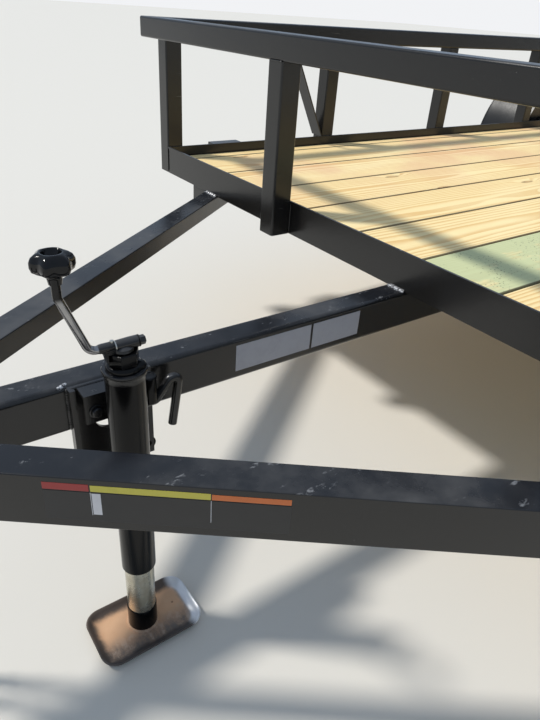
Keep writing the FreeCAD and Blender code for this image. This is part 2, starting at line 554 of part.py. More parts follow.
def make_jack():
    """The jack's outer tube with its pivot boss, its head, and the crank that turns in the head."""
    boss_y = "(Sizes.jack_side - Sizes.jack_outer - Sizes.pivot_out)"
    wall = rod("JackWall", "Sizes.jack_outer", "Sizes.jack_top - Sizes.jack_low",
               (JACK_X, "Sizes.jack_side", "Sizes.jack_low"))
    boss = rod("JackBoss", "Sizes.pivot_outer", "Sizes.pivot_out + Sizes.jack_outer",
               (JACK_X, boss_y, "Sizes.jack_swivel_high"), "Y")
    bore = rod("JackBore", "Sizes.jack_outer - Sizes.jack_wall", "Sizes.jack_top - Sizes.jack_low",
               (JACK_X, "Sizes.jack_side", "Sizes.jack_low"))
    piece("jack_tube", cut("JackTube", fuse("JackShell", [wall, boss]), bore))
    cap = rod("JackCap", "Sizes.cap_outer", "Sizes.cap_rise", (JACK_X, "Sizes.jack_side", "Sizes.jack_top"))
    neck_z = "(Sizes.jack_top + Sizes.cap_rise)"
    barrel_z = f"({neck_z} + Sizes.barrel_rise)"
    neck_top = f"({barrel_z} - Sizes.barrel_outer - Sizes.stay_play)"
    neck = rod("JackNeck", "Sizes.head_outer", f"{neck_top} - {neck_z}", (JACK_X, "Sizes.jack_side", neck_z))
    seat = rod("CrankSeat", "Sizes.crank_shaft + Sizes.stay_play", "Sizes.shaft_long + Sizes.stay_play",
               (JACK_X, "Sizes.jack_side", f"{neck_top} - Sizes.shaft_long - Sizes.stay_play"))
    piece("jack_head", cut("JackHead", fuse("JackHeadBody", [cap, neck]), seat))
    shaft = rod("CrankShaft", "Sizes.crank_shaft", f"{barrel_z} - {neck_top} + Sizes.shaft_long",
                (JACK_X, "Sizes.jack_side", f"{neck_top} - Sizes.shaft_long"))
    hub = rod("CrankHub", "Sizes.crank_hub", "Sizes.barrel_outer",
              (JACK_X, "Sizes.jack_side", f"{barrel_z} - Sizes.barrel_outer"))
    barrel = rod("CrankBarrel", "Sizes.barrel_outer", "Sizes.barrel_rear + Sizes.barrel_front",
                 (f"{JACK_X} - Sizes.barrel_rear", "Sizes.jack_side", barrel_z), "X")
    points = [
        (JACK_X, "Sizes.jack_side", barrel_z),
        (f"{JACK_X} + Sizes.crank_out", "Sizes.jack_side", barrel_z),
        (f"{JACK_X} + Sizes.crank_reach", "Sizes.jack_side", f"{barrel_z} + Sizes.crank_rise"),
        (f"{JACK_X} + Sizes.crank_reach", "Sizes.jack_side",
         f"{barrel_z} + Sizes.crank_rise + Sizes.crank_stem"),
    ]
    bar = bent_rod("CrankRod", "Sizes.crank_bar", points)
    piece("jack_crank", fuse("JackCrank", [shaft, hub, barrel, bar]))
    knob_z = f"({barrel_z} + Sizes.crank_rise + Sizes.crank_stem - Sizes.knob_skirt)"
    grip = rod("KnobGrip", "Sizes.knob_outer", "Sizes.knob_high",
               (f"{JACK_X} + Sizes.crank_reach", "Sizes.jack_side", f"{knob_z} + Sizes.knob_skirt"))
    skirt = rod("KnobSkirt", "Sizes.knob_outer / 2", "Sizes.knob_skirt",
                (f"{JACK_X} + Sizes.crank_reach", "Sizes.jack_side", knob_z))
    stem = rod("KnobStem", "Sizes.crank_bar", "Sizes.knob_skirt",
               (f"{JACK_X} + Sizes.crank_reach", "Sizes.jack_side", knob_z))
    piece("jack_knob", cut("JackKnob", fuse("KnobBody", [grip, skirt]), stem))


def make_jack_leg():
    """The sliding ram and the dished foot plate that stands on the ground."""
    floor = "Sizes.foot_wall"
    piece("jack_ram", rod("JackRam", "Sizes.ram_outer", "Sizes.ram_high",
                          (JACK_X, "Sizes.jack_side", floor)))
    body = doc.addObject("PartDesign::Body", "JackFootDish")
    rounded_block(body, "FootBlock", ("Sizes.foot_long", "Sizes.foot_wide", "Sizes.foot_high"),
                  "Sizes.foot_round", "Z")
    dish = body.newObject("PartDesign::SubtractiveBox", "FootDish")
    bind(dish, Length="Sizes.foot_long - 4 * Sizes.foot_wall", Width="Sizes.foot_wide - 4 * Sizes.foot_wall",
         Height="Sizes.foot_high")
    place(dish, "2 * Sizes.foot_wall", "2 * Sizes.foot_wall", floor)
    place(body, f"{JACK_X} - Sizes.foot_long / 2",
          "Sizes.jack_side + Sizes.foot_shift - Sizes.foot_wide / 2", "0")
    collar = rod("FootCollar", "Sizes.foot_collar + Sizes.foot_wall", "Sizes.foot_high - Sizes.foot_wall / 2",
                 (JACK_X, "Sizes.jack_side", "Sizes.foot_wall / 2"))
    bore = rod("FootBore", "Sizes.ram_outer", "Sizes.foot_high", (JACK_X, "Sizes.jack_side", floor))
    piece("jack_foot", cut("JackFoot", fuse("FootShell", [body, collar]), bore))


def leaf_pack(name, middle_y):
    """Leaves nested on one arc, each shorter than the one above it, with an eye at each end."""
    low_y = f"({middle_y} - Sizes.spring_wide / 2)"
    parts = []
    for number in range(int(size("leaf_count"))):
        deep = f"(Sizes.leaf_thick * {number + 1})"
        outer = rod(f"{name}Outer{number}", f"{SPRING_RADIUS} + {deep}", "Sizes.spring_wide",
                    (AXLE_X, low_y, SPRING_CENTRE), "Y")
        inner = rod(f"{name}Inner{number}", SPRING_RADIUS, "Sizes.spring_wide",
                    (AXLE_X, low_y, SPRING_CENTRE), "Y")
        ring = cut(f"{name}Ring{number}", outer, inner)
        half = f"(Sizes.spring_half - {number} * Sizes.leaf_step)"
        window = box(f"{name}Window{number}",
                     (f"2 * {half}", "Sizes.spring_wide", "2 * Sizes.spring_sag + Sizes.leaf_thick"),
                     (f"{AXLE_X} - {half}", low_y, f"{SPRING_TOP} - {deep} - 1"))
        parts.append(common(f"{name}Leaf{number}", ring, window))
    holes = []
    for end in (-1, 1):
        x = f"{AXLE_X} + {end} * Sizes.spring_half"
        parts.append(rod(f"{name}Eye{end + 1}", "Sizes.eye_outer", "Sizes.spring_wide",
                         (x, low_y, EYE_Z), "Y"))
        holes.append(rod(f"{name}Hole{end + 1}", "Sizes.eye_bolt + Sizes.stay_play", "Sizes.spring_wide",
                         (x, low_y, EYE_Z), "Y"))
    return cut(name, fuse(name + "Pack", parts), fuse(name + "Holes", holes))


def make_axle():
    """The round axle beam, the leaf springs under it, their hangers and the clamps."""
    beam = rod("AxleBeam", "Sizes.axle_outer", f"2 * {AXLE_HALF}",
               (AXLE_X, f"-{AXLE_HALF}", "Sizes.hub_high"), "Y")
    spindle = rod("AxleSpindle", "Sizes.spindle_outer", f"2 * {SPINDLE_END}",
                  (AXLE_X, f"-{SPINDLE_END}", "Sizes.hub_high"), "Y")
    piece("axle", fuse("Axle", [beam, spindle]))
    pack_deep = "(Sizes.leaf_thick * Sizes.leaf_count)"
    hangers = []
    clamps = []
    for hand, sign in SIDES:
        middle = f"({sign} * ({BED_HALF} - Sizes.spring_in))"
        piece(f"leaf_spring_{hand}", leaf_pack(f"Spring{hand}", middle))
        for end in (-1, 1):
            tag = f"{hand}{end + 1}"
            x = f"{AXLE_X} + {end} * Sizes.spring_half"
            parts = []
            for face, y in (("In", f"{middle} - Sizes.spring_wide / 2 - Sizes.stay_play - Sizes.hanger_wall"),
                            ("Out", f"{middle} + Sizes.spring_wide / 2 + Sizes.stay_play")):
                parts.append(box(f"Hanger{tag}{face}",
                                 ("2 * Sizes.hanger_half", "Sizes.hanger_wall",
                                  f"{RAIL_LOW} - {EYE_Z} + Sizes.hanger_half"),
                                 (f"{x} - Sizes.hanger_half", y, f"{EYE_Z} - Sizes.hanger_half")))
            reach = "(Sizes.spring_wide + 2 * Sizes.hanger_wall + 2 * Sizes.eye_bolt)"
            parts.append(rod(f"HangerBolt{tag}", "Sizes.eye_bolt", reach,
                             (x, f"{middle} - {reach} / 2", EYE_Z), "Y"))
            hangers.append(fuse(f"Hanger{tag}", parts))
        parts = [box(f"ClampPlate{hand}",
                     ("2 * Sizes.clamp_half", "2 * Sizes.clamp_half_wide", "Sizes.clamp_plate"),
                     (f"{AXLE_X} - Sizes.clamp_half", f"{middle} - Sizes.clamp_half_wide",
                      f"{SPRING_TOP} - {pack_deep} - Sizes.clamp_plate"))]
        bend = "(Sizes.axle_outer + Sizes.clamp_bolt + Sizes.stay_play)"
        for edge in (-1, 1):
            y = f"{middle} + {edge} * (Sizes.spring_wide / 2 + Sizes.clamp_bolt + Sizes.stay_play)"
            bow = doc.addObject("Part::Torus", f"ClampBow{hand}{edge + 1}")
            bind(bow, Radius1=bend, Radius2="Sizes.clamp_bolt")
            bow.Angle3 = 180
            bow.Placement = FreeCAD.Placement(FreeCAD.Vector(), FreeCAD.Rotation(TURNS["X"], 90))
            parts.append(place(bow, AXLE_X, y, "Sizes.hub_high"))
            for end in (-1, 1):
                low = f"({SPRING_TOP} - {pack_deep} - 2 * Sizes.clamp_plate)"
                parts.append(rod(f"ClampLeg{hand}{edge + 1}{end + 1}", "Sizes.clamp_bolt",
                                 f"Sizes.hub_high - {low}", (f"{AXLE_X} + {end} * {bend}", y, low)))
        clamps.append(fuse(f"Clamp{hand}", parts))
        pad = box(f"SpringPad{hand}", ("2 * Sizes.axle_outer", "Sizes.spring_wide", "Sizes.axle_outer"),
                  (f"{AXLE_X} - Sizes.axle_outer", f"{middle} - Sizes.spring_wide / 2", SPRING_TOP))
        clear = rod(f"PadClear{hand}", "Sizes.axle_outer + Sizes.stay_play", "Sizes.spring_wide",
                    (AXLE_X, f"{middle} - Sizes.spring_wide / 2", "Sizes.hub_high"), "Y")
        lift = rod(f"PadLift{hand}", SPRING_RADIUS, "Sizes.spring_wide",
                   (AXLE_X, f"{middle} - Sizes.spring_wide / 2", SPRING_CENTRE), "Y")
        clamps.append(common(f"Pad{hand}", cut(f"PadCut{hand}", pad, clear), lift))
    piece("spring_hangers", group("SpringHangers", hangers))
    piece("axle_clamps", group("AxleClamps", clamps))


def make_wheels():
    """Each wheel: a tyre, a rim with a pierced disc and a hub with its lugs and cap."""
    for hand, sign in SIDES:
        middle = f"({sign} * {WHEEL_Y})"
        body = doc.addObject("PartDesign::Body", f"Tyre{hand}")
        block = body.newObject("PartDesign::AdditiveCylinder", f"TyreBlock{hand}")
        bind(block, Radius="Sizes.tyre_outer", Height="Sizes.tyre_wide")
        doc.recompute()
        rims = [f"Edge{n}" for n, edge in enumerate(block.Shape.Edges, start=1) if edge.Closed]
        shoulder = body.newObject("PartDesign::Fillet", f"TyreShoulder{hand}")
        shoulder.Base = (block, rims)
        bind(shoulder, Radius="Sizes.tyre_round")
        hole = body.newObject("PartDesign::SubtractiveCylinder", f"TyreHole{hand}")
        bind(hole, Radius="Sizes.rim_outer + Sizes.stay_play", Height="Sizes.tyre_wide")
        air = body.newObject("PartDesign::SubtractiveCylinder", f"TyreAir{hand}")
        bind(air, Radius="Sizes.tyre_outer - Sizes.tread_wall", Height="Sizes.tyre_wide - 2 * Sizes.sidewall")
        place(air, z="Sizes.sidewall")
        body.Placement = FreeCAD.Placement(FreeCAD.Vector(), FreeCAD.Rotation(TURNS["Z"], TURNS["Y"]))
        piece(f"tyre_{hand}", place(body, AXLE_X, f"{middle} - Sizes.tyre_wide / 2", "Sizes.hub_high"))

        low_y = f"({middle} - Sizes.rim_wide / 2)"
        barrel = rod(f"RimBarrel{hand}", "Sizes.rim_outer", "Sizes.rim_wide",
                     (AXLE_X, low_y, "Sizes.hub_high"), "Y")
        well = rod(f"RimWell{hand}", "Sizes.rim_outer - Sizes.rim_wall", "Sizes.rim_wide",
                   (AXLE_X, low_y, "Sizes.hub_high"), "Y")
        face_y = f"({middle} + {sign} * Sizes.disc_out)"
        disc_y = f"({face_y} - Sizes.disc_wall / 2)"
        disc = rod(f"RimDisc{hand}", "Sizes.rim_outer - Sizes.rim_wall / 2", "Sizes.disc_wall",
                   (AXLE_X, disc_y, "Sizes.hub_high"), "Y")
        holes = [rod(f"RimCentre{hand}", "Sizes.cap_radius + Sizes.stay_play", "Sizes.disc_wall",
                     (AXLE_X, disc_y, "Sizes.hub_high"), "Y")]
        middle_reach = "((Sizes.rim_outer + Sizes.hub_flange) / 2)"
        for number in range(int(size("rim_windows"))):
            turn = f"(360 / Sizes.rim_windows * ({number} + 0.5))"
            holes.append(rod(f"RimWindow{hand}{number}", "Sizes.window_outer", "Sizes.disc_wall",
                             (f"{AXLE_X} + {middle_reach} * cos({turn})", disc_y,
                              f"Sizes.hub_high + {middle_reach} * sin({turn})"), "Y"))
        shell = fuse(f"RimShell{hand}", [cut(f"RimRing{hand}", barrel, well), disc])
        piece(f"rim_{hand}", cut(f"Rim{hand}", shell, fuse(f"RimHoles{hand}", holes)))

        back_in = f"({AXLE_HALF} + Sizes.hub_gap)"
        disc_back = f"({WHEEL_Y} + Sizes.disc_out - Sizes.disc_wall / 2)"
        hub_long = f"({disc_back} - {back_in})"
        barrel = rod(f"HubBarrel{hand}", "Sizes.hub_outer", hub_long,
                     (AXLE_X, mirrored(sign, back_in, hub_long), "Sizes.hub_high"), "Y")
        flange = rod(f"HubFlange{hand}", "Sizes.hub_flange", "Sizes.flange_thick",
                     (AXLE_X, mirrored(sign, f"({disc_back} - Sizes.flange_thick)", "Sizes.flange_thick"),
                      "Sizes.hub_high"), "Y")
        cap = rod(f"HubCap{hand}", "Sizes.cap_radius", "Sizes.cap_long",
                  (AXLE_X, mirrored(sign, disc_back, "Sizes.cap_long"), "Sizes.hub_high"), "Y")
        bore_long = f"({SPINDLE_END} - {back_in} + Sizes.spindle_play)"
        bore = rod(f"HubBore{hand}", "Sizes.spindle_outer + Sizes.spindle_play", bore_long,
                   (AXLE_X, mirrored(sign, back_in, bore_long), "Sizes.hub_high"), "Y")
        piece(f"hub_{hand}", cut(f"Hub{hand}", fuse(f"HubShell{hand}", [barrel, flange, cap]), bore))
        lug_in = f"({disc_back} + Sizes.disc_wall)"
        lugs = []
        for number in range(int(size("lug_count"))):
            turn = f"(90 + {number} * 360 / Sizes.lug_count)"
            nut = doc.addObject("Part::Prism", f"Lug{hand}{number}")
            nut.Polygon = 6
            bind(nut, Circumradius="Sizes.lug_radius", Height="Sizes.lug_high")
            nut.Placement = FreeCAD.Placement(FreeCAD.Vector(), FreeCAD.Rotation(TURNS["Z"], TURNS["Y"]))
            lugs.append(place(nut, f"{AXLE_X} + Sizes.lug_circle * cos({turn})",
                              mirrored(sign, lug_in, "Sizes.lug_high"),
                              f"Sizes.hub_high + Sizes.lug_circle * sin({turn})"))
        piece(f"wheel_nuts_{hand}", group(f"WheelNuts{hand}", lugs))


def make_fenders():
    """Half-round fenders with a rolled lip and a back plate, on two flat stays each."""
    low_z = "(Sizes.hub_high - Sizes.fender_drop)"
    stays = []
    for hand, sign in SIDES:
        low_y = mirrored(sign, POST_OUT, "Sizes.fender_wide")
        outer = rod(f"FenderOuter{hand}", "Sizes.fender_outer", "Sizes.fender_wide",
                    (AXLE_X, low_y, "Sizes.hub_high"), "Y")
        inner = rod(f"FenderInner{hand}", "Sizes.fender_outer - Sizes.fender_wall", "Sizes.fender_wide",
                    (AXLE_X, low_y, "Sizes.hub_high"), "Y")
        lip = doc.addObject("Part::Torus", f"FenderLip{hand}")
        bind(lip, Radius1="Sizes.fender_outer - Sizes.fender_wall / 2", Radius2="Sizes.fender_lip")
        lip.Placement = FreeCAD.Placement(FreeCAD.Vector(), FreeCAD.Rotation(TURNS["X"], 90))
        place(lip, AXLE_X, f"{sign} * ({POST_OUT} + Sizes.fender_wide - Sizes.fender_lip)", "Sizes.hub_high")
        band = fuse(f"FenderBand{hand}", [cut(f"FenderRing{hand}", outer, inner), lip])
        window = box(f"FenderWindow{hand}",
                     ("4 * Sizes.fender_outer", "2 * Sizes.fender_wide", "2 * Sizes.fender_outer"),
                     (f"{AXLE_X} - 2 * Sizes.fender_outer",
                      mirrored(sign, f"({POST_OUT} - 1)", "2 * Sizes.fender_wide"), low_z))
        plate = rod(f"FenderPlate{hand}", "Sizes.fender_outer - Sizes.fender_wall / 2", "Sizes.fender_wall",
                    (AXLE_X, mirrored(sign, POST_OUT, "Sizes.fender_wall"), "Sizes.hub_high"), "Y")
        above = box(f"PlateWindow{hand}",
                    ("4 * Sizes.fender_outer", "2 * Sizes.fender_wall", "Sizes.fender_outer"),
                    (f"{AXLE_X} - 2 * Sizes.fender_outer",
                     mirrored(sign, f"({POST_OUT} - 1)", "2 * Sizes.fender_wall"), RAIL_LOW))
        shell = fuse(f"FenderShell{hand}", [common(f"FenderArc{hand}", band, window),
                                            common(f"FenderBack{hand}", plate, above)])
        piece(f"fender_{hand}", shell)
        stay_long = f"({POST_OUT} + Sizes.fender_wide - {BED_HALF} - 2 * Sizes.fender_lip)"
        stay_z = f"({RAIL_LOW} + Sizes.fender_wall)"
        for end in (-1, 1):
            tag = f"{hand}{end + 1}"
            reach = f"sqrt(Sizes.fender_outer^2 - ({RAIL_LOW} - Sizes.hub_high)^2)"
            x = f"{AXLE_X} + {end} * {reach} - Sizes.fender_stay"
            bar = box(f"Stay{tag}", ("2 * Sizes.fender_stay", stay_long, "Sizes.stay_thick"),
                      (x, mirrored(sign, BED_HALF, stay_long), f"{RAIL_LOW} - Sizes.stay_thick"))
            drum = rod(f"StayDrum{tag}", "Sizes.fender_outer - Sizes.fender_wall - Sizes.stay_play",
                       stay_long, (AXLE_X, mirrored(sign, BED_HALF, stay_long), "Sizes.hub_high"), "Y")
            stays.append(common(f"StayBar{tag}", bar, drum))
            ear = box(f"StayEar{tag}", ("Sizes.fender_stay / 2", "Sizes.rail_wall", "Sizes.rail_leg"),
                      (f"{AXLE_X} + {end} * ({reach} - Sizes.fender_stay) - Sizes.fender_stay / 4",
                       mirrored(sign, BED_HALF, "Sizes.rail_wall"), RAIL_LOW))
            stays.append(ear)
    doc.recompute()
    joined = []
    for bar, ear in zip(stays[0::2], stays[1::2]):
        joined.append(fuse(f"{bar.Name}Joined", [bar, ear]))
    piece("fender_stays", group("FenderStays", joined))


def make_lamps():
    """Front side markers in guards on the side rails, and tail lamps in boxes outside the rear posts."""
    guards = []
    lenses = []
    boxes = []
    tails = []
    for hand, sign in SIDES:
        x = f"({BED_FRONT} - Sizes.marker_place - Sizes.marker_long)"
        z = "(Sizes.frame_top - Sizes.marker_high - Sizes.marker_low)"
        block = box(f"MarkerBlock{hand}", ("Sizes.marker_long", "Sizes.marker_deep", "Sizes.marker_high"),
                    (x, mirrored(sign, BED_HALF, "Sizes.marker_deep"), z))
        hollow = box(f"MarkerHollow{hand}",
                     ("Sizes.marker_long - 2 * Sizes.tail_wall", "Sizes.marker_deep",
                      "Sizes.marker_high - 2 * Sizes.tail_wall"),
                     (f"{x} + Sizes.tail_wall",
                      mirrored(sign, f"{BED_HALF} + Sizes.tail_wall", "Sizes.marker_deep"),
                      f"{z} + Sizes.tail_wall"))
        guards.append(cut(f"MarkerGuard{hand}", block, hollow))
        lens_deep = "(Sizes.marker_deep - Sizes.tail_wall - Sizes.lamp_inset)"
        lenses.append(plank(f"MarkerLens{hand}",
                            ("Sizes.marker_long - 2 * Sizes.tail_wall - Sizes.lamp_inset", lens_deep,
                             "Sizes.marker_high - 2 * Sizes.tail_wall - Sizes.lamp_inset"),
                            "Sizes.lens_round", "Y",
                            (f"{x} + Sizes.tail_wall + Sizes.lamp_inset / 2",
                             mirrored(sign, f"{BED_HALF} + Sizes.tail_wall", lens_deep),
                             f"{z} + Sizes.tail_wall + Sizes.lamp_inset / 2")))
        z = f"({RAIL_LOW} - Sizes.tail_under)"
        block = box(f"TailBlock{hand}", ("Sizes.tail_deep", "Sizes.tail_wide", "Sizes.tail_high"),
                    (BED_REAR, mirrored(sign, POST_OUT, "Sizes.tail_wide"), z))
        hollow = box(f"TailHollow{hand}",
                     ("Sizes.tail_deep", "Sizes.tail_wide - 2 * Sizes.tail_wall",
                      "Sizes.tail_high - 2 * Sizes.tail_wall"),
                     (f"{BED_REAR} - Sizes.tail_wall",
                      mirrored(sign, f"{POST_OUT} + Sizes.tail_wall",
                               "Sizes.tail_wide - 2 * Sizes.tail_wall"),
                      f"{z} + Sizes.tail_wall"))
        boxes.append(cut(f"TailBox{hand}", block, hollow))
        lens_wide = "(Sizes.tail_wide - 2 * Sizes.tail_wall - Sizes.lamp_inset)"
        tails.append(plank(f"TailLens{hand}",
                           ("Sizes.tail_deep - Sizes.tail_wall - Sizes.lamp_inset", lens_wide,
                            "Sizes.tail_high - 2 * Sizes.tail_wall - Sizes.lamp_inset"),
                           "Sizes.lens_round", "X",
                           (f"{BED_REAR} + Sizes.lamp_inset",
                            mirrored(sign, f"{POST_OUT} + Sizes.tail_wall + Sizes.lamp_inset / 2", lens_wide),
                            f"{z} + Sizes.tail_wall + Sizes.lamp_inset / 2")))
    piece("marker_guards", group("MarkerGuards", guards))
    piece("marker_lamps", group("MarkerLamps", lenses))
    piece("tail_lamp_boxes", group("TailBoxes", boxes))
    piece("tail_lamps", group("TailLamps", tails))


def make_gate():
    """The ramp gate: a tube frame with bars and a mesh sheet, on knuckles that turn on the sill's pins."""
    side = "Sizes.gate_tube"
    inside_half = f"({GATE_HALF} - {side})"
    top_z = "(Sizes.gate_low + Sizes.gate_high)"
    parts = []
    for name, z in (("Low", "Sizes.gate_low"), ("High", f"{top_z} - {side}")):
        parts.append(tube(f"GateRail{name}", (side, f"2 * {GATE_HALF}", side), "Sizes.gate_wall",
                          "Sizes.gate_round", "Y", (GATE_X, f"-{GATE_HALF}", z)))
    upright = f"(Sizes.gate_high - 2 * {side})"
    for hand, sign in SIDES:
        parts.append(tube(f"GateSide{hand}", (side, side, upright), "Sizes.gate_wall", "Sizes.gate_round",
                          "Z", (GATE_X, mirrored(sign, inside_half, side), f"Sizes.gate_low + {side}")))
    bars = int(size("gate_bars"))
    for number in range(1, bars + 1):
        y = f"-{inside_half} + 2 * {inside_half} * {number} / (Sizes.gate_bars + 1) - {side} / 2"
        parts.append(tube(f"GateBar{number}", (side, side, upright), "Sizes.gate_wall", "Sizes.gate_round",
                          "Z", (GATE_X, y, f"Sizes.gate_low + {side}")))
    piece("gate_frame", fuse("GateFrame", parts))
    # the mesh is a plain grid of bars here
    wide = f"(2 * {inside_half} + {side})"
    high = f"({upright} + {side})"
    mesh_x = f"{GATE_X} - Sizes.mesh_thick"
    mesh_y = f"(-{inside_half} - {side} / 2)"
    mesh_z = f"(Sizes.gate_low + {side} / 2)"
    strands = []
    for number in range(int(size("mesh_columns")) + 1):
        y = f"{mesh_y} + ({wide} - Sizes.mesh_bar) * {number} / Sizes.mesh_columns"
        strands.append(box(f"MeshUpright{number}", ("Sizes.mesh_thick", "Sizes.mesh_bar", high),
                           (mesh_x, y, mesh_z)))
    for number in range(int(size("mesh_rows")) + 1):
        z = f"{mesh_z} + ({high} - Sizes.mesh_bar) * {number} / Sizes.mesh_rows"
        strands.append(box(f"MeshRow{number}", ("Sizes.mesh_thick", wide, "Sizes.mesh_bar"),
                           (mesh_x, mesh_y, z)))
    piece("gate_mesh", fuse("GateMesh", strands))
    knuckles = []
    lugs = []
    for number in (-1, 0, 1):
        tag = str(number + 1)
        low_y = f"({number} * Sizes.hinge_pitch - Sizes.hinge_wide / 2)"
        barrel = rod(f"Knuckle{tag}", "Sizes.hinge_outer", "Sizes.hinge_wide",
                     (HINGE_X, low_y, "Sizes.hinge_high"), "Y")
        ear = box(f"KnuckleEar{tag}",
                  ("Sizes.hinge_outer", "Sizes.hinge_wide", "Sizes.gate_low - Sizes.hinge_high"),
                  (f"{HINGE_X} - Sizes.hinge_outer / 2", low_y, "Sizes.hinge_high"))
        bore = rod(f"KnuckleBore{tag}", "Sizes.hinge_pin + Sizes.hinge_play", "Sizes.hinge_wide",
                   (HINGE_X, low_y, "Sizes.hinge_high"), "Y")
        knuckles.append(cut(f"KnuckleCut{tag}", fuse(f"KnuckleBody{tag}", [barrel, ear]), bore))
        parts = []
        lug_y = f"({low_y} - Sizes.hinge_lug - Sizes.hinge_gap)"
        for end, y in (("A", lug_y), ("B", f"{low_y} + Sizes.hinge_wide + Sizes.hinge_gap")):
            parts.append(box(f"HingeLug{tag}{end}",
                             (f"{BED_REAR} - {HINGE_X} + Sizes.hinge_outer", "Sizes.hinge_lug",
                              "2 * Sizes.hinge_outer"),
                             (f"{HINGE_X} - Sizes.hinge_outer", y, "Sizes.hinge_high - Sizes.hinge_outer")))
        parts.append(rod(f"HingePin{tag}", "Sizes.hinge_pin",
                         "Sizes.hinge_wide + 2 * Sizes.hinge_lug + 2 * Sizes.hinge_gap",
                         (HINGE_X, lug_y, "Sizes.hinge_high"), "Y"))
        lugs.append(fuse(f"HingeLugs{tag}", parts))
    piece("gate_knuckles", group("GateKnuckles", knuckles))
    piece("gate_hinge_lugs", group("GateHingeLugs", lugs))
    latches = []
    keepers = []
    latch_z = "(Sizes.gate_low + Sizes.latch_rise)"
    latch_x = f"({GATE_X} + {side} / 2)"
    for hand, sign in SIDES:
        pin_long = f"({BED_HALF} + Sizes.post_side / 2 + Sizes.latch_plate - {GATE_HALF})"
        latches.append(rod(f"LatchPin{hand}", "Sizes.latch_pin", pin_long,
                           (latch_x, mirrored(sign, GATE_HALF, pin_long), latch_z), "Y"))
        slot_wide = "(3 * Sizes.latch_plate + Sizes.post_side)"
        plate = box(f"Keeper{hand}",
                    (f"{BED_REAR} - {GATE_X}", "Sizes.latch_plate", "3 * Sizes.latch_slot"),
                    (GATE_X, mirrored(sign, f"({BED_HALF} + Sizes.post_side / 2)", "Sizes.latch_plate"),
                     f"{latch_z} - 1.5 * Sizes.latch_slot"))
        slot = box(f"KeeperSlot{hand}",
                   (f"{side} / 2 + Sizes.latch_slot / 2 + 1", slot_wide, "Sizes.latch_slot"),
                   (f"{GATE_X} - 1", mirrored(sign, BED_HALF, slot_wide),
                    f"{latch_z} - Sizes.latch_slot / 2"))
        keepers.append(cut(f"KeeperCut{hand}", plate, slot))
    piece("gate_latch_pins", group("GateLatchPins", latches))
    piece("latch_keepers", group("LatchKeepers", keepers))


def check_and_export():
    """Stop on any failed object, then write one file for each node."""
    doc.recompute()
    for thing in doc.Objects:
        if "Invalid" in thing.State or "Error" in thing.State:
            raise RuntimeError(f"{thing.Name} failed: {thing.State}")
    for thing in PIECES:
        if thing.Shape.isNull() or not thing.Shape.isValid() or not thing.Shape.Solids:
            raise RuntimeError(f"{thing.Label} has no valid solid")
    os.makedirs("parts", exist_ok=True)
    for thing in PIECES:
        thing.Shape.exportStep(f"parts/{thing.Label}.step")


make_rails()
make_crossmembers()
make_deck()
make_posts()
make_braces()
make_tongue()
make_coupler()
make_chains()
make_jack_mount()
make_jack()
make_jack_leg()
make_axle()
make_wheels()
make_fenders()
make_lamps()
make_gate()
check_and_export()
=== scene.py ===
"""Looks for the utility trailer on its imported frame: finishes, welds, jack, tyres, mesh and stage."""

import math
import random

import bmesh
import bpy
from bpy.props import FloatProperty, FloatVectorProperty, IntProperty, PointerProperty
from mathutils import Matrix, Vector


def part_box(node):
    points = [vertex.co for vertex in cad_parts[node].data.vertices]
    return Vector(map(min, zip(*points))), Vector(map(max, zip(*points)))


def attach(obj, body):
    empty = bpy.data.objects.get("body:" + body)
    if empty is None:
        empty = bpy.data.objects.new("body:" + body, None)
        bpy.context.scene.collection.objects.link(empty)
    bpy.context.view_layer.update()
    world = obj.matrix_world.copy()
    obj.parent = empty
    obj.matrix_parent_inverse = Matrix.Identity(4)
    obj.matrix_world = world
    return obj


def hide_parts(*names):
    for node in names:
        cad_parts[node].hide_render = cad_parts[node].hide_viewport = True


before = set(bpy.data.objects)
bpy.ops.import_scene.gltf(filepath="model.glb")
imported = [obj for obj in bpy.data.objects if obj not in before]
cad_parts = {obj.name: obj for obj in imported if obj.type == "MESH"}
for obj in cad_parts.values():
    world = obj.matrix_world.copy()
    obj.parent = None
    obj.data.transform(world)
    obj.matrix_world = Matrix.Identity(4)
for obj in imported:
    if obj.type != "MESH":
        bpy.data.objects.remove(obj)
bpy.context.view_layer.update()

bl_info = {
    "name": "Utility trailer",
    "version": (1, 0, 0),
    "blender": (4, 5, 0),
    "location": "3D View > Sidebar > Trailer",
    "description": "Dresses the utility trailer's frame with its finishes and its small parts",
    "category": "Object",
}


def middle_of(node):
    """The middle of one part of the frame."""
    low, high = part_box(node)
    return (low + high) / 2


SIDES = (("left", 1), ("right", -1))
BOARD_PITCH = 0.1847
DECK_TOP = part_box("deck_boards")[1].z
DECK_MIDDLE_BOARD = 5
RAIL_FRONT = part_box("front_rail")[1].x
RAIL_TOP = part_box("front_rail")[1].z
RAIL_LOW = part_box("front_rail")[0].z
TOP_RAIL_LOW = 0.824
TONGUE_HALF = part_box("tongue_center_tube")[1].y
ARM_FOOT = 0.719
ARM_MEET = 0.9473
ARM_TURN = math.atan2(ARM_FOOT, ARM_MEET)
JACK = middle_of("jack_ram")
BRACKET_REAR = JACK.x - 0.041
COUPLER_HALF = 0.033
AXLE = middle_of("tyre_left")
POST = 0.0508
POST_PITCH = 0.61
FRONT_POST_Y = 0.381
SIDE_POST_FACE = 0.978
SIDE_POSTS = 6
SPATTER = 16
LENGTH = {"unit": "LENGTH"}
COLOUR = {"subtype": "COLOR", "size": 3, "min": 0, "max": 1}


def paint(red, green, blue):
    """A colour as it is seen, 0 to 255 a channel, as the share of light that it gives back."""
    return tuple(((v / 255 + 0.055) / 1.055) ** 2.4 if v > 10 else v / 255 / 12.92
                 for v in (red, green, blue))


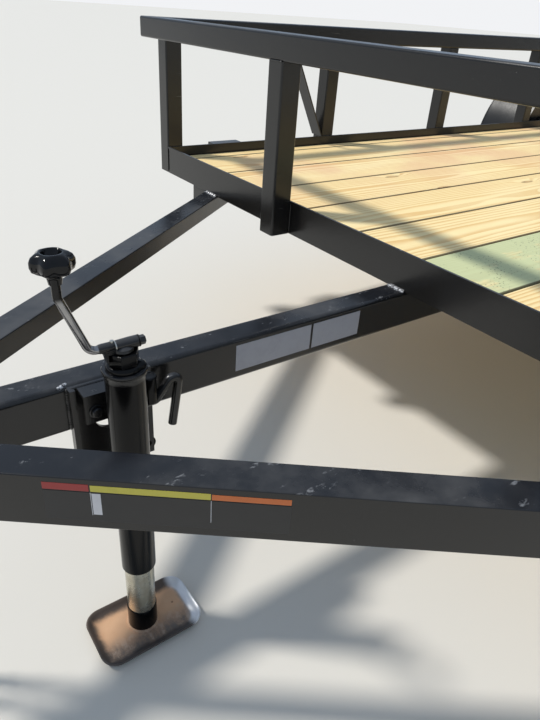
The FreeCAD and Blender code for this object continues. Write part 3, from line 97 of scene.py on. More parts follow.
class TrailerSizes(bpy.types.PropertyGroup):
    """Sizes of the small parts that the frame leaves to the scene."""

    bead_half: FloatProperty(
        name="Weld bead", description="Half the width of a weld bead", default=0.004, **LENGTH)
    bead_step: FloatProperty(
        name="Weld ripple", description="Length of one ripple of a weld bead", default=0.0042, **LENGTH)
    mesh_long: FloatProperty(
        name="Diamond length", description="Long way of the gate's mesh openings", default=0.062, **LENGTH)
    mesh_short: FloatProperty(
        name="Diamond height", description="Short way of the gate's mesh openings", default=0.027, **LENGTH)
    mesh_strand: FloatProperty(
        name="Strand", description="Thickness of the mesh strands", default=0.0032, **LENGTH)
    tread_count: IntProperty(
        name="Tread blocks", description="Tread blocks round each rib of a tyre", default=62, min=20, max=120)
    tread_deep: FloatProperty(
        name="Tread depth", description="Depth of the tyre grooves", default=0.0065, **LENGTH)
    knob_lobes: IntProperty(
        name="Knob lobes", description="Finger lobes round the crank's knob", default=6, min=3, max=9)
    label_proud: FloatProperty(
        name="Label film", description="How far a blank label stands off the paint", default=0.0004, **LENGTH)


class TrailerColours(bpy.types.PropertyGroup):
    """Colours of the trailer's finishes."""

    enamel: FloatVectorProperty(
        name="Enamel", description="Black gloss enamel on the steel", default=paint(25, 24, 23), **COLOUR)
    dust: FloatVectorProperty(
        name="Dust", description="Dry dust that lies on top faces", default=paint(128, 126, 124), **COLOUR)
    early_wood: FloatVectorProperty(
        name="Pale grain", description="Pale part of the plank grain", default=paint(252, 232, 178), **COLOUR)
    late_wood: FloatVectorProperty(
        name="Dark grain", description="Dark part of the plank grain", default=paint(220, 172, 104), **COLOUR)
    green_stain: FloatVectorProperty(
        name="Green stain", description="Stain on the middle plank", default=paint(192, 203, 158), **COLOUR)
    zinc: FloatVectorProperty(
        name="Zinc", description="Zinc plating", default=paint(196, 196, 190), **COLOUR)
    rust: FloatVectorProperty(
        name="Rust", description="Thin rust on the jack's foot", default=paint(204, 158, 122), **COLOUR)
    rubber: FloatVectorProperty(
        name="Rubber", description="Tyre rubber", default=paint(38, 38, 39), **COLOUR)
    wheel_silver: FloatVectorProperty(
        name="Wheel silver", description="Silver paint on the rims", default=paint(178, 181, 184), **COLOUR)
    amber: FloatVectorProperty(
        name="Amber", description="Amber lens", default=paint(236, 130, 22), **COLOUR)
    red: FloatVectorProperty(
        name="Red", description="Red lens", default=paint(176, 18, 20), **COLOUR)
    floor: FloatVectorProperty(
        name="Floor", description="Studio floor", default=paint(218, 214, 206), **COLOUR)


def sums(operation):
    """A plain sum of a socket and one other value."""
    return lambda one, other: one.maths(operation, other)


class Wire:
    """A socket that takes part in plain sums; each sum adds its Math node."""

    def __init__(self, finish, socket):
        self.finish = finish
        self.socket = socket

    def maths(self, operation, *others):
        return self.finish.maths(operation, self, *others)

    def __rsub__(self, other):
        return self.finish.maths("SUBTRACT", other, self)

    __add__ = __radd__ = sums("ADD")
    __sub__ = sums("SUBTRACT")
    __mul__ = __rmul__ = sums("MULTIPLY")
    __truediv__ = sums("DIVIDE")
    __pow__ = sums("POWER")
    __gt__ = sums("GREATER_THAN")


class Finish:
    """One material and the few moves that its nodes are made with."""

    def __init__(self, name):
        self.material = bpy.data.materials.new(name)
        self.material.use_nodes = True
        self.tree = self.material.node_tree
        self.tree.nodes.clear()
        self.here = self.node("ShaderNodeTexCoord", out=3)

    def node(self, kind, settings=(), sockets=(), out=0):
        """Adds a node: its settings first, then the values or links of its sockets."""
        made = self.tree.nodes.new(kind)
        for name, value in dict(settings).items():
            setattr(made, name, value)
        for name, value in dict(sockets).items():
            if isinstance(value, Wire):
                self.tree.links.new(value.socket, made.inputs[name])
            else:
                made.inputs[name].default_value = value
        return Wire(self, made.outputs[out]) if len(made.outputs) else made

    def maths(self, operation, *values):
        return self.node("ShaderNodeMath", {"operation": operation}, dict(enumerate(values)))

    def facing(self):
        """How far a face looks up, from -1 to 1."""
        return self.parts(self.node("ShaderNodeTexCoord", out=1))[2]

    def parts(self, vector):
        made = self.node("ShaderNodeSeparateXYZ", (), {0: vector})
        return [Wire(self, socket) for socket in made.socket.node.outputs]

    def vector(self, x, y, z):
        return self.node("ShaderNodeCombineXYZ", (), {0: x, 1: y, 2: z})

    def stretch(self, vector, scale):
        return self.node("ShaderNodeVectorMath", {"operation": "MULTIPLY"}, {0: vector, 1: scale})

    def noise(self, scale, detail=3.0, rough=0.5, vector=None):
        """Soft noise; three numbers for its scale draw it out."""
        vector = vector or self.here
        if isinstance(scale, tuple):
            vector, scale = self.stretch(vector, scale), 1.0
        return self.node("ShaderNodeTexNoise", {"noise_dimensions": "3D"},
                         {"Vector": vector, "Scale": scale, "Detail": detail, "Roughness": rough})

    def cells(self, vector, scale, scatter=1.0, space="3D", out=0):
        """How near the closest of many scattered points is, or with out=1 the tint of that point."""
        return self.node("ShaderNodeTexVoronoi", {"voronoi_dimensions": space},
                         {"Vector": vector, "Scale": scale, "Randomness": scatter}, out)

    def luck(self, number):
        """One chance value for each whole number."""
        return self.node("ShaderNodeTexWhiteNoise", {"noise_dimensions": "1D"}, {"W": number})

    def step(self, value, low, high):
        """Rises smoothly from 0 at low to 1 at high, or falls where high is the smaller."""
        if low < high:
            return self.node("ShaderNodeMapRange", {"interpolation_type": "SMOOTHSTEP"},
                             {0: value, 1: low, 2: high})
        return 1 - self.step(value, high, low)

    def mix(self, share, one, two):
        values = {0: share}
        for number, colour in ((6, one), (7, two)):
            values[number] = colour if isinstance(colour, Wire) else (*tuple(colour)[:3], 1)
        return self.node("ShaderNodeMix", {"data_type": "RGBA"}, values, out=2)

    def layers(self, colour, *coats):
        """Lays more colours over one: each says its share, then its three channels as they are seen."""
        for share, *seen in coats:
            colour = self.mix(share, colour, paint(*seen))
        return colour

    def bump(self, height, strength, distance, under=None):
        values = {"Height": height, "Strength": strength, "Distance": distance}
        if under is not None:
            values["Normal"] = under
        return self.node("ShaderNodeBump", (), values)

    def coat(self, colour, roughness, normal=None, metallic=0.0, **constants):
        """The surface itself; everything that doesn't vary is set on its own socket."""
        values = {"Base Color": colour, "Roughness": roughness, "Metallic": metallic}
        if normal is not None:
            values["Normal"] = normal
        for name, value in constants.items():
            values[name.replace("_", " ").title().replace("Ior", "IOR")] = value
        surface = self.node("ShaderNodeBsdfPrincipled", (), values)
        self.node("ShaderNodeOutputMaterial", (), {"Surface": surface})
        return self.material


def black_enamel(c):
    """Gloss black enamel: orange peel, dust and dry scuffs on top faces, a blue-grey painted sky reflection
    on top faces, fine scratches.
    """
    f = Finish("black_enamel")
    up = f.step(f.facing(), 0.4, 0.95)
    cloud = f.noise(5.0, 5.0, 0.62)
    dust = up * f.step(cloud, 0.4, 0.75) * 0.34
    smear = f.noise((22, 60, 40), 4.0, 0.7)
    fleck = f.noise(170.0, 2.0, 0.6)
    scuff = up * f.step(smear, 0.6, 0.7) * f.step(fleck, 0.44, 0.6)
    lines = f.noise((14, 420, 420), 2.0)
    scratch = f.step(lines, 0.735, 0.76) * f.step(f.noise(3.1, 1.0), 0.5, 0.62)
    # the blue-grey tint on top faces (21, 25, 34) is a painted sky reflection; the dust laid over it is real
    colour = f.mix(dust, f.layers(c.enamel, (up * 0.5, 21, 25, 34)), c.dust)
    colour = f.layers(colour, (scuff * 0.38, 170, 172, 176), (scratch * 0.45, 120, 118, 114))
    wave = f.bump(f.noise(34.0, 2.0), 0.16, 0.0012)
    rough = 0.19 + dust * 0.55 + scuff * 0.3 + cloud * 0.1
    return f.coat(colour, rough, f.bump(f.noise(520.0, 1.0), 0.22, 0.0003, wave), specular_ior_level=0.46)


def jack_enamel():
    """Deep gloss black on the jack's tube and head, with a few dry runs and chips."""
    f = Finish("jack_enamel")
    cloud = f.noise(22.0, 4.0, 0.6)
    chips = f.step(f.noise(120.0, 3.0, 0.6), 0.7, 0.74) * f.step(f.noise(9.0, 1.0), 0.5, 0.62)
    runs = f.step(f.noise((130, 130, 8), 2.0), 0.62, 0.72)
    colour = f.layers(paint(7, 7, 8), (cloud * 0.4, 15, 14, 13), (chips * 0.7, 122, 114, 104))
    normal = f.bump(f.noise(420.0, 1.0), 0.14, 0.0003, f.bump(runs, 0.1, 0.0006))
    return f.coat(colour, 0.13 + cloud * 0.08 + chips * 0.3, normal, specular_ior_level=0.19)


def planks(c):
    """Pine planks along the trailer: rings, fibre, knots, one green-stained board, pink tints."""
    f = Finish("planks")
    x, y, z = f.parts(f.here)
    place = y / BOARD_PITCH + DECK_MIDDLE_BOARD
    board = place.maths("FLOOR")
    across = place.maths("FRACT") * BOARD_PITCH
    luck, other, third = [f.luck(board + start) for start in (3.0, 21.0, 47.0)]
    mine = f.vector(x + board * 9.3, across, z)
    knots = f.vector(x * 1.55 + board * 7.37, across * 5.2 + other * 3.0, 0.0)
    near = f.cells(knots, 1.0, 0.9, "2D")
    chosen = f.parts(f.cells(knots, 1.0, 0.9, "2D", 1))[0] > 0.42
    # the rings run round a pith that wanders under each board
    wander = f.noise((1.5, 9.0, 9.0), 2.0, 0.45, mine) - 0.5
    swell = (1 - f.step(near, 0.02, 0.16)) * chosen * 0.016
    pith_y = across - 0.03 - luck * 0.12
    pith_z = z - DECK_TOP + 0.035 + other * 0.075 + (x + 1.0) * (third - 0.5) * 0.028
    reach = (pith_y * pith_y + pith_z * pith_z) ** 0.5 + wander * 0.03 + swell
    ring = (reach / 0.0082).maths("FRACT")
    late = f.step(ring, 0.3, 0.86) * f.step(ring, 1.0, 0.93)
    fibre = f.noise((9.0, 520.0, 520.0), 3.0, 0.65, mine)
    streak = f.noise((1.1, 60.0, 60.0), 3.0, 0.55, mine)
    patch = f.noise((2.2, 9.0, 9.0), 3.0, 0.55, mine)
    far = f.step(y, -0.25, -0.7) * f.step(f.noise(3.4, 2.0), 0.44, 0.62)
    colour = f.layers(f.mix(late * 0.66 + streak * 0.16, c.early_wood, c.late_wood),
                      (f.step(patch, 0.45, 0.72) * 0.36, 255, 240, 192),
                      (f.step(fibre, 0.56, 0.76) * 0.24, 152, 110, 62),
                      (luck * 0.2, 236, 198, 124), (far * 0.34, 222, 160, 132))
    # the stained board, with dark specks that are fewer on the others
    stained = board.maths("COMPARE", float(DECK_MIDDLE_BOARD), 0.4)
    wash = f.noise((1.9, 5.5, 1.0), 4.0, 0.6)
    amount = stained * f.step(wash + f.step(x, -0.6, 1.1) * 0.28, 0.5, 0.72)
    bare = f.step(f.noise((7, 13, 1.0), 3.0, 0.6), 0.5, 0.66)
    colour = f.mix(amount * (0.86 - bare * 0.62), colour, c.green_stain)
    grit = f.cells(f.stretch(f.here, (1.0, 1.5, 1.0)), 120.0)
    speck = f.step(grit + f.noise(60.0, 2.0) * 0.2, 0.36, 0.24) * f.step(f.noise(15.0, 3.0, 0.7), 0.46, 0.6)
    # knots: a dark rim, a paler heart, a check across it
    rim = f.step(near, 0.05, 0.036) * chosen
    heart = f.step(near, 0.036, 0.018) * chosen
    check = f.step(f.noise((90, 30, 30), 1.0), 0.6, 0.64) * heart
    # the dark bands along both edges of each board are painted shade in the gaps between boards
    edge = f.step(across, 0.003, 0.0008) + f.step(across, BOARD_PITCH - 0.0062, BOARD_PITCH - 0.0042)
    colour = f.layers(colour, (speck * (stained * 0.74 + 0.06), 52, 62, 50), (rim * 0.62, 124, 80, 44),
                      (heart * 0.72, 218, 180, 124), (check * 0.7, 84, 54, 34),
                      (edge.maths("MINIMUM", 1.0) * 0.78, 56, 40, 24))
    normal = f.bump(late * 0.5 + fibre * 0.7 + rim * 0.6, 0.5, 0.0007)
    return f.coat(colour, 0.62 + fibre * 0.12 - late * 0.06, normal, specular_ior_level=0.35)


def zinc_plate(c):
    """Bright zinc plating, slightly clouded, with small scrapes."""
    f = Finish("zinc")
    cloud = f.noise(46.0, 4.0, 0.6)
    colour = f.layers(c.zinc, (f.step(cloud, 0.4, 0.7) * 0.55, 150, 148, 138))
    scrape = f.step(f.noise((60, 60, 700), 2.0), 0.64, 0.72)
    rough = 0.24 + cloud * 0.22 + scrape * 0.15
    return f.coat(colour, rough, f.bump(cloud + scrape * 0.4, 0.12, 0.0006), 0.92)


def crank_steel():
    """Dark polished crank rod; its top part under the knob is coloured black as a painted dark reflection."""
    f = Finish("crank_steel")
    cloud = f.noise(60.0, 3.0, 0.6)
    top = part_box("jack_knob")[0].z
    # the rod is coloured black from just under the knob upwards: a painted dark reflection
    painted_dark_reflection = f.step(f.parts(f.here)[2] + cloud * 0.006, top - 0.021, top - 0.013)
    colour = f.layers(paint(120, 120, 123), (cloud, 172, 171, 170), (painted_dark_reflection * 0.92, 20, 19, 19))
    return f.coat(colour, 0.12 + cloud * 0.1 + painted_dark_reflection * 0.1, f.bump(cloud, 0.08, 0.0005), 0.95)


def ram_steel():
    """Bare pale steel ram with faint upright draw lines and rings."""
    f = Finish("ram_steel")
    draw = f.noise((300, 300, 9), 3.0, 0.6)
    ring = f.noise((8, 8, 420), 3.0, 0.6)
    cloud = f.noise(30.0, 4.0, 0.6)
    colour = f.layers(paint(214, 210, 194), (draw * 0.5, 160, 155, 138),
                      (f.step(cloud, 0.5, 0.66) * 0.4, 172, 158, 130),
                      (f.step(ring, 0.6, 0.7) * 0.3, 120, 114, 98))
    return f.coat(colour, 0.2 + cloud * 0.14, f.bump(draw + ring * 0.5, 0.16, 0.0006), 0.92)


def foot_plate(c):
    """The jack's foot: thin rust on the floor of the dish, worn grey metal on one side, walls darkened as
    painted shade, one rim with a painted highlight.
    """
    f = Finish("rusty_zinc")
    low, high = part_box("jack_foot")
    middle = middle_of("jack_foot")
    half = high - middle
    x, y, z = f.parts(f.here)
    cloud = f.noise(42.0, 5.0, 0.65)
    wobble = (cloud - 0.5) * 0.016
    inset_x = (x - middle.x).maths("ABSOLUTE") + wobble
    inset_y = (y - middle.y).maths("ABSOLUTE") + wobble
    # the darker band round the dish's walls is painted shade
    painted_wall_shade = f.step(inset_x, half.x - 0.022, half.x - 0.009).maths(
        "MAXIMUM", f.step(inset_y, half.y - 0.023, half.y - 0.01))
    scrub = f.step(f.noise((60, 34, 60), 5.0, 0.7), 0.36, 0.66)
    worn = f.step(y + wobble * 1.6, 0.1, 0.142)
    spot = f.step(f.cells(f.here, 55.0), 0.16, 0.09) * f.step(f.noise(26.0, 2.0), 0.5, 0.6)
    # a pale, shinier band on the rim at the low x end: a painted highlight
    painted_highlight = f.step(x + wobble * 0.3, low.x + 0.03, low.x + 0.014) * f.step(z, 0.004, 0.0062)
    under = f.step(z, 0.0035, 0.0015)
    colour = f.layers(c.rust, (cloud * 0.7, 226, 190, 154), (worn * (0.55 + scrub * 0.4), 108, 102, 98),
                      (worn * f.step(scrub, 0.45, 0.05) * 0.34, 182, 176, 168), (painted_wall_shade * 0.92, 66, 63, 62),
                      (spot * 0.75, 104, 56, 32), (painted_highlight * 0.94, 238, 239, 242), (under * 0.8, 60, 56, 52))
    rough = 0.55 + cloud * 0.15 - painted_highlight * 0.24
    return f.coat(colour, rough, f.bump(cloud + spot * 0.5, 0.25, 0.0009), 0.2 + painted_highlight * 0.3)


def tyre_rubber(c):
    """Rubber: dry dust on the sides, moulding grain, greyer tread tops."""
    f = Finish("tyre_rubber")
    x, y, z = f.parts(f.here)
    cloud = f.noise(14.0, 5.0, 0.62)
    reach = ((x - AXLE.x) ** 2.0 + (z - AXLE.z) ** 2.0) ** 0.5
    colour = f.layers(c.rubber, (f.step(cloud, 0.42, 0.7) * 0.35, 70, 67, 63),
                      (f.step(reach, 0.3405, 0.3425) * 0.32, 82, 79, 75))
    grain = f.noise(600.0, 2.0, 0.6)
    return f.coat(colour, 0.66 + cloud * 0.16, f.bump(grain, 0.2, 0.0006), specular_ior_level=0.4)


def wheel_silver(c):
    """Silver wheel paint with brake dust in its low places."""
    f = Finish("wheel_paint")
    cloud = f.noise(18.0, 4.0, 0.6)
    flake = f.noise(900.0, 1.0)
    colour = f.layers(c.wheel_silver, (f.step(cloud, 0.45, 0.75) * 0.3, 134, 130, 124),
                      (flake * 0.2, 214, 216, 218))
    return f.coat(colour, 0.3 + cloud * 0.18, f.bump(flake, 0.06, 0.0003), 0.55)


def lens(name, tone, deep):
    """Moulded lens: a prism grid under a glossy skin, glowing faintly in its own tone as painted light."""
    f = Finish(name)
    x, y, z = f.parts(f.here)
    grid = ((x + y) * 900.0).maths("SINE") * (z * 900.0).maths("SINE")
    cloud = f.noise(40.0)
    colour = f.mix(f.step(grid, -0.5, 0.8) * 0.5 + cloud * 0.2, deep, tone)
    # the faint emission makes the unlit lens glow: painted light
    return f.coat(colour, 0.1 + cloud * 0.12, f.bump(grid, 0.35, 0.0008), coat_weight=0.5,
                  emission_color=(*tuple(tone)[:3], 1), emission_strength=0.05)


def clouded(name, noise, band, one, two, rough, bump, metallic=0.0, **constants):
    """A finish that drifts from one colour to another; band is where it turns, if anywhere, and how far."""
    f = Finish(name)
    cloud = f.noise(*noise)
    *turn, share = band
    drift = f.step(cloud, *turn) if turn else cloud
    return f.coat(f.mix(drift * share, one, two), rough[0] + cloud * rough[1], f.bump(cloud, *bump), metallic,
                  **constants)


def label_film(name, tone):
    """Printed film with nothing written on it."""
    return clouded(name, (55.0, 4.0, 0.6), (0.45, 0.75, 0.22), tone, tuple(v * 0.62 for v in tone),
                   (0.34, 0.14), (0.05, 0.0005))


def studio_floor(c):
    """Plain pale floor."""
    f = Finish("studio_floor")
    colour = f.mix(f.noise(0.6, 2.0) * 0.2, c.floor, tuple(v * 0.965 for v in c.floor))
    return f.coat(colour, 0.85, specular_ior_level=0.2)


FINISHES = {}
FILMS = {"film_grey": (150, 151, 158), "film_red": (150, 44, 42), "film_yellow": (190, 180, 70),
         "film_orange": (196, 104, 48), "film_pale": (196, 196, 200), "film_dark": (27, 27, 28)}


def make_finishes(c):
    FINISHES.update({
        "black_paint": black_enamel(c), "planks": planks(c), "zinc": zinc_plate(c),
        "rusty_zinc": foot_plate(c), "tyre_rubber": tyre_rubber(c), "wheel_paint": wheel_silver(c),
        "crank_steel": crank_steel(), "ram_steel": ram_steel(), "jack_enamel": jack_enamel(),
        "floor": studio_floor(c),
        "amber_lens": lens("amber_lens", c.amber, paint(150, 66, 8)),
        "red_lens": lens("red_lens", c.red, paint(92, 6, 8)),
        # moulded gloss plastic
        "black_plastic": clouded("black_plastic", (90.0, 3.0, 0.6), (0.5,), paint(10, 10, 11),
                                 paint(20, 20, 22), (0.07, 0.1), (0.05, 0.0005), specular_ior_level=0.3),
        # chrome with fingerprints and water marks
        "chrome": clouded("chrome", (70.0, 4.0, 0.6), (0.3,), paint(214, 214, 216), paint(176, 176, 178),
                          (0.07, 0.16), (0.04, 0.0004), 1.0),
        # cast hub under thin black paint, worn at its edges
        "hub_steel": clouded("hub_steel", (60.0, 5.0, 0.65), (0.5, 0.72, 0.5), paint(74, 74, 76),
                             paint(128, 122, 112), (0.42, 0.2), (0.3, 0.001), 0.6),
        # scale grey leaves with thin rust along them
        "spring_steel": clouded("spring_steel", ((10, 60, 60), 5.0, 0.6), (0.48, 0.7, 0.6),
                                paint(52, 51, 50), paint(112, 84, 62), (0.5, 0.2), (0.3, 0.0008), 0.45),
        # weld beads: silver crests that are a painted highlight, darker troughs between them
        "weld_with_painted_glints": clouded("weld_with_painted_glints", (260.0, 3.0, 0.6), (0.42, 0.6, 1.0), paint(58, 58, 62),
                             paint(206, 207, 210), (0.3, 0.2), (0.4, 0.0008), 0.55),
    })
    FINISHES.update({name: label_film(name, paint(*seen)) for name, seen in FILMS.items()})


ACROSS = {"X": (Vector((0, 1, 0)), Vector((0, 0, 1)), Vector((1, 0, 0))),
          "Y": (Vector((0, 0, 1)), Vector((1, 0, 0)), Vector((0, 1, 0))),
          "Z": (Vector((1, 0, 0)), Vector((0, 1, 0)), Vector((0, 0, 1)))}


def stand(name, data):
    """Puts a mesh, a light or a camera into the scene."""
    made = bpy.data.objects.new(name, data)
    bpy.context.scene.collection.objects.link(made)
    return made


class Form:
    """A mesh in the making."""

    def __init__(self):
        self.mesh = bmesh.new()

    def loop(self, points):
        return [self.mesh.verts.new(point) for point in points]

    def skin(self, loops, closed=True, ends=True):
        """Joins loops of equal count, one after another."""
        rings = [self.loop(points) for points in loops]
        count = len(rings[0])
        for one, two in zip(rings, rings[1:]):
            for n in range(count if closed else count - 1):
                m = (n + 1) % count
                self.mesh.faces.new((one[n], one[m], two[m], two[n]))
        if ends:
            self.mesh.faces.new(rings[0])
            self.mesh.faces.new(rings[-1])

    def turned(self, outline, centre, axis, steps, scale=None, ends=True, flip=1):
        """A turned part; outline holds (radius, height) from one end to the other, flip -1 mirrors it."""
        one, two, along = ACROSS[axis]
        centre = Vector(centre)
        loops = []
        for radius, height in outline:
            points = []
            for n in range(steps):
                turn = math.tau * n / steps
                out = max(radius, 0.0001) * (scale(turn, radius) if scale else 1)
                points.append(centre + along * (height * flip)
                              + (one * math.cos(turn) + two * math.sin(turn)) * out)
            loops.append(points)
        self.skin(loops, ends=ends)

    def swept(self, path, radius, steps=14):
        """A round bar along a path."""
        path = [Vector(point) for point in path]
        side = None
        loops = []
        for n, here in enumerate(path):
            ahead = (path[min(n + 1, len(path) - 1)] - path[max(n - 1, 0)]).normalized()
            side = ahead.orthogonal() if side is None else side - ahead * side.dot(ahead)
            side = side.normalized()
            over = ahead.cross(side)
            reach = radius(n / (len(path) - 1)) if callable(radius) else radius
            loops.append([here + (side * math.cos(math.tau * k / steps)
                                  + over * math.sin(math.tau * k / steps)) * reach for k in range(steps)])
        self.skin(loops)

    def block(self, low, high, turn=Matrix()):
        """A block between two corners, turned by a matrix."""
        corners = [turn @ Vector((x, y, z)) for z in (low[2], high[2])
                   for x, y in ((low[0], low[1]), (high[0], low[1]), (high[0], high[1]), (low[0], high[1]))]
        self.skin([corners[:4], corners[4:]])

    def prism(self, outline, low, high, centre=(0, 0, 0)):
        """A flat outline of (height, place ahead) given thickness across the trailer."""
        one, two, along = ACROSS["Y"]
        centre = Vector(centre)
        self.skin([[centre + one * a + two * b + along * h for a, b in outline] for h in (low, high)])

    def bead(self, start, end, out, half, step, seed):
        """A rippled weld bead from start to end, standing out along a direction."""
        start, end, out = Vector(start), Vector(end), Vector(out).normalized()
        luck = random.Random(seed)
        length = (end - start).length
        along = (end - start) / length
        foot = along.cross(out).normalized()
        count = max(8, int(length / 0.001))
        phase = luck.random()
        drift = [luck.uniform(-1, 1) for _ in range(8)]
        loops = []
        for n in range(count + 1):
            s = n / count
            ripple = abs(math.cos(math.pi * (s * length / step + phase)))
            swell = max(0.0, 1 - (2 * s - 1) ** 8) ** 0.5 * 0.9 + 0.1
            wide = half * swell * (0.93 + 0.1 * ripple + 0.06 * drift[int(s * 7)])
            high = half * swell * (0.55 + 0.2 * ripple)
            points = []
            for k in range(9):
                turn = math.pi * k / 8
                lead = 0.55 * half * math.sin(turn)
                points.append(start + along * (s * length + lead * swell)
                              + foot * (math.cos(turn) * wide) + out * (math.sin(turn) * high - half * 0.12))
            loops.append(points)
        self.skin(loops)

    def done(self, name, body="frame", finish="black_paint", replaces=(), bevel=0.0,
             smooth=40):
        """Makes the mesh an object that rides on a body."""
        bmesh.ops.remove_doubles(self.mesh, verts=self.mesh.verts, dist=0.000001)
        bmesh.ops.recalc_face_normals(self.mesh, faces=self.mesh.faces)
        data = bpy.data.meshes.new(name)
        self.mesh.to_mesh(data)
        self.mesh.free()
        data.shade_smooth()
        data.set_sharp_from_angle(angle=math.radians(smooth))
        made = stand(name, data)
        data.materials.append(FINISHES[finish])
        if bevel:
            cutter = made.modifiers.new("edges", "BEVEL")
            cutter.width = bevel
            cutter.segments = 2
            cutter.limit_method = "ANGLE"
            cutter.angle_limit = math.radians(35)
            cutter.harden_normals = True
        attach(made, body)
        if replaces:
            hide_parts(*replaces)
        return made


def rounded(points, radius, steps=9):
    """The path with its corners turned into arcs."""
    points = [Vector(point) for point in points]
    made = [points[0]]
    for before, corner, after in zip(points, points[1:], points[2:]):
        one, two = (before - corner).normalized(), (after - corner).normalized()
        half = one.angle(two) / 2
        back = radius / math.tan(half)
        middle = corner + (one + two).normalized() * radius / math.sin(half)
        first, last = corner + one * back - middle, corner + two * back - middle
        whole = first.angle(last)
        for n in range(steps + 1):
            s = n / steps
            made.append(middle + (first * math.sin((1 - s) * whole) + last * math.sin(s * whole))
                        / math.sin(whole))
    return made + [points[-1]]


def round_box(half_x, half_y, corner, z, steps=9):
    """A rounded rectangle about the origin, at a height."""
    points = []
    for quarter, (sx, sy) in enumerate(((1, 1), (-1, 1), (-1, -1), (1, -1))):
        for n in range(steps + 1):
            turn = math.pi / 2 * (quarter + n / steps)
            points.append(Vector((sx * (half_x - corner) + corner * math.cos(turn),
                                  sy * (half_y - corner) + corner * math.sin(turn), z)))
    return points


class TrailerOperator(bpy.types.Operator):
    """A step of dressing the trailer."""

    bl_idname = "trailer.step"
    bl_label = "Trailer step"
    bl_options = {"REGISTER", "UNDO"}

    def execute(self, context):
        self.sizes = context.scene.trailer_sizes
        self.colours = context.scene.trailer_colours
        self.make()
        return {"FINISHED"}

    def make(self):
        raise NotImplementedError("each step makes its own pieces")


class DressFrame(TrailerOperator):
    """Makes every finish and gives each part of the frame its own"""

    bl_idname = "trailer.dress_frame"
    bl_label = "Finishes on the frame"

    def make(self):
        make_finishes(self.colours)
        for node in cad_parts.values():
            for slot in node.material_slots:
                slot.material = FINISHES[slot.material.name.split(".")[0]]
        own = {"jack_ram": "ram_steel", "jack_pull_pin": "black_paint", "jack_tube": "jack_enamel"}
        for name, finish in own.items():
            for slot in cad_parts[name].material_slots:
                slot.material = FINISHES[finish]


class AddWelds(TrailerOperator):
    """Weld beads where the tongue, arm blocks, posts and rails meet"""

    bl_idname = "trailer.add_welds"
    bl_label = "Weld beads"

    def make(self):
        half, step = self.sizes.bead_half, self.sizes.bead_step
        self.tongue(half, step)
        blocks = Form()
        for hand, side in reversed(SIDES):
            low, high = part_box("arm_block_" + hand)
            inner, outer = (low.y, high.y) if side > 0 else (high.y, low.y)
            x, z = high.x - 0.0005, high.z - 0.001
            blocks.bead((x, inner + side * 0.006, z), (x, outer - side * 0.004, z), (1, 0, -0.4),
                        half * 0.8, step, 71)
            x, y = high.x - 0.001, inner + side * 0.001
            blocks.bead((x, y, low.z + 0.004), (x, y, high.z - 0.008), (1, side * 0.4, 0), half, step, 73)
        blocks.done("block_welds")
        self.posts(half * 0.8, step)

    @staticmethod
    def tongue(half, step):
        """Beads under the front rail with their spatter, coloured silver-bright as a painted highlight."""
        painted_highlight = Form()
        for number, (y, slant) in enumerate(((0.0, 0.0), (ARM_FOOT, ARM_TURN), (-ARM_FOOT, ARM_TURN))):
            wide = TONGUE_HALF / math.cos(slant) - 0.003
            luck = random.Random(number)
            painted_highlight.bead((RAIL_FRONT + 0.002, y - wide, RAIL_LOW + 0.0005),
                        (RAIL_FRONT + 0.002, y + wide, RAIL_LOW + 0.0005),
                        (0.8, 0, 1), half * 1.3, step * 1.2, number + 3)
            for _ in range(SPATTER):
                place = y + luck.uniform(-1, 1) * wide
                size = luck.uniform(0.0007, 0.0017)
                away = luck.uniform(0.005, 0.0085)
                painted_highlight.turned([(size, -0.0003), (size * 0.8, size * 0.5), (size * 0.3, size * 0.8)],
                              (RAIL_FRONT + away, place, RAIL_LOW), "Z", 8)
        painted_highlight.done("tongue_welds", finish="weld_with_painted_glints")

    @staticmethod
    def posts(half, step):
        """Painted beads up the posts and under the top rails."""
        painted = Form()
        for side in (-1, 1):
            y = side * FRONT_POST_Y
            for edge in (-1, 1):
                painted.bead((RAIL_FRONT, y + edge * POST / 2, RAIL_LOW + 0.004),
                             (RAIL_FRONT, y + edge * POST / 2, RAIL_TOP - 0.003), (1, edge, 0),
                             half * 0.6, step, 5 + edge)
                x = RAIL_FRONT + POST / 2 + edge * POST / 2
                painted.bead((x, y - POST / 2 + 0.003, TOP_RAIL_LOW), (x, y + POST / 2 - 0.003, TOP_RAIL_LOW),
                             (edge, 0, -1), half * 0.8, step, 9 + edge)
            outer = side * SIDE_POST_FACE
            for number in range(SIDE_POSTS):
                for edge in (0, 1):
                    x = RAIL_FRONT - POST_PITCH * number - POST + edge * POST
                    painted.bead((x, outer, RAIL_LOW + 0.004), (x, outer, RAIL_TOP - 0.004),
                                 (edge * 2 - 1, side, 0), half, step, number * 3 + edge)
                    painted.bead((x, outer + side * 0.004, TOP_RAIL_LOW),
                                 (x, outer + side * 0.047, TOP_RAIL_LOW),
                                 (edge * 2 - 1, 0, -1), half * 0.8, step, number * 5 + edge)
        painted.done("post_welds")


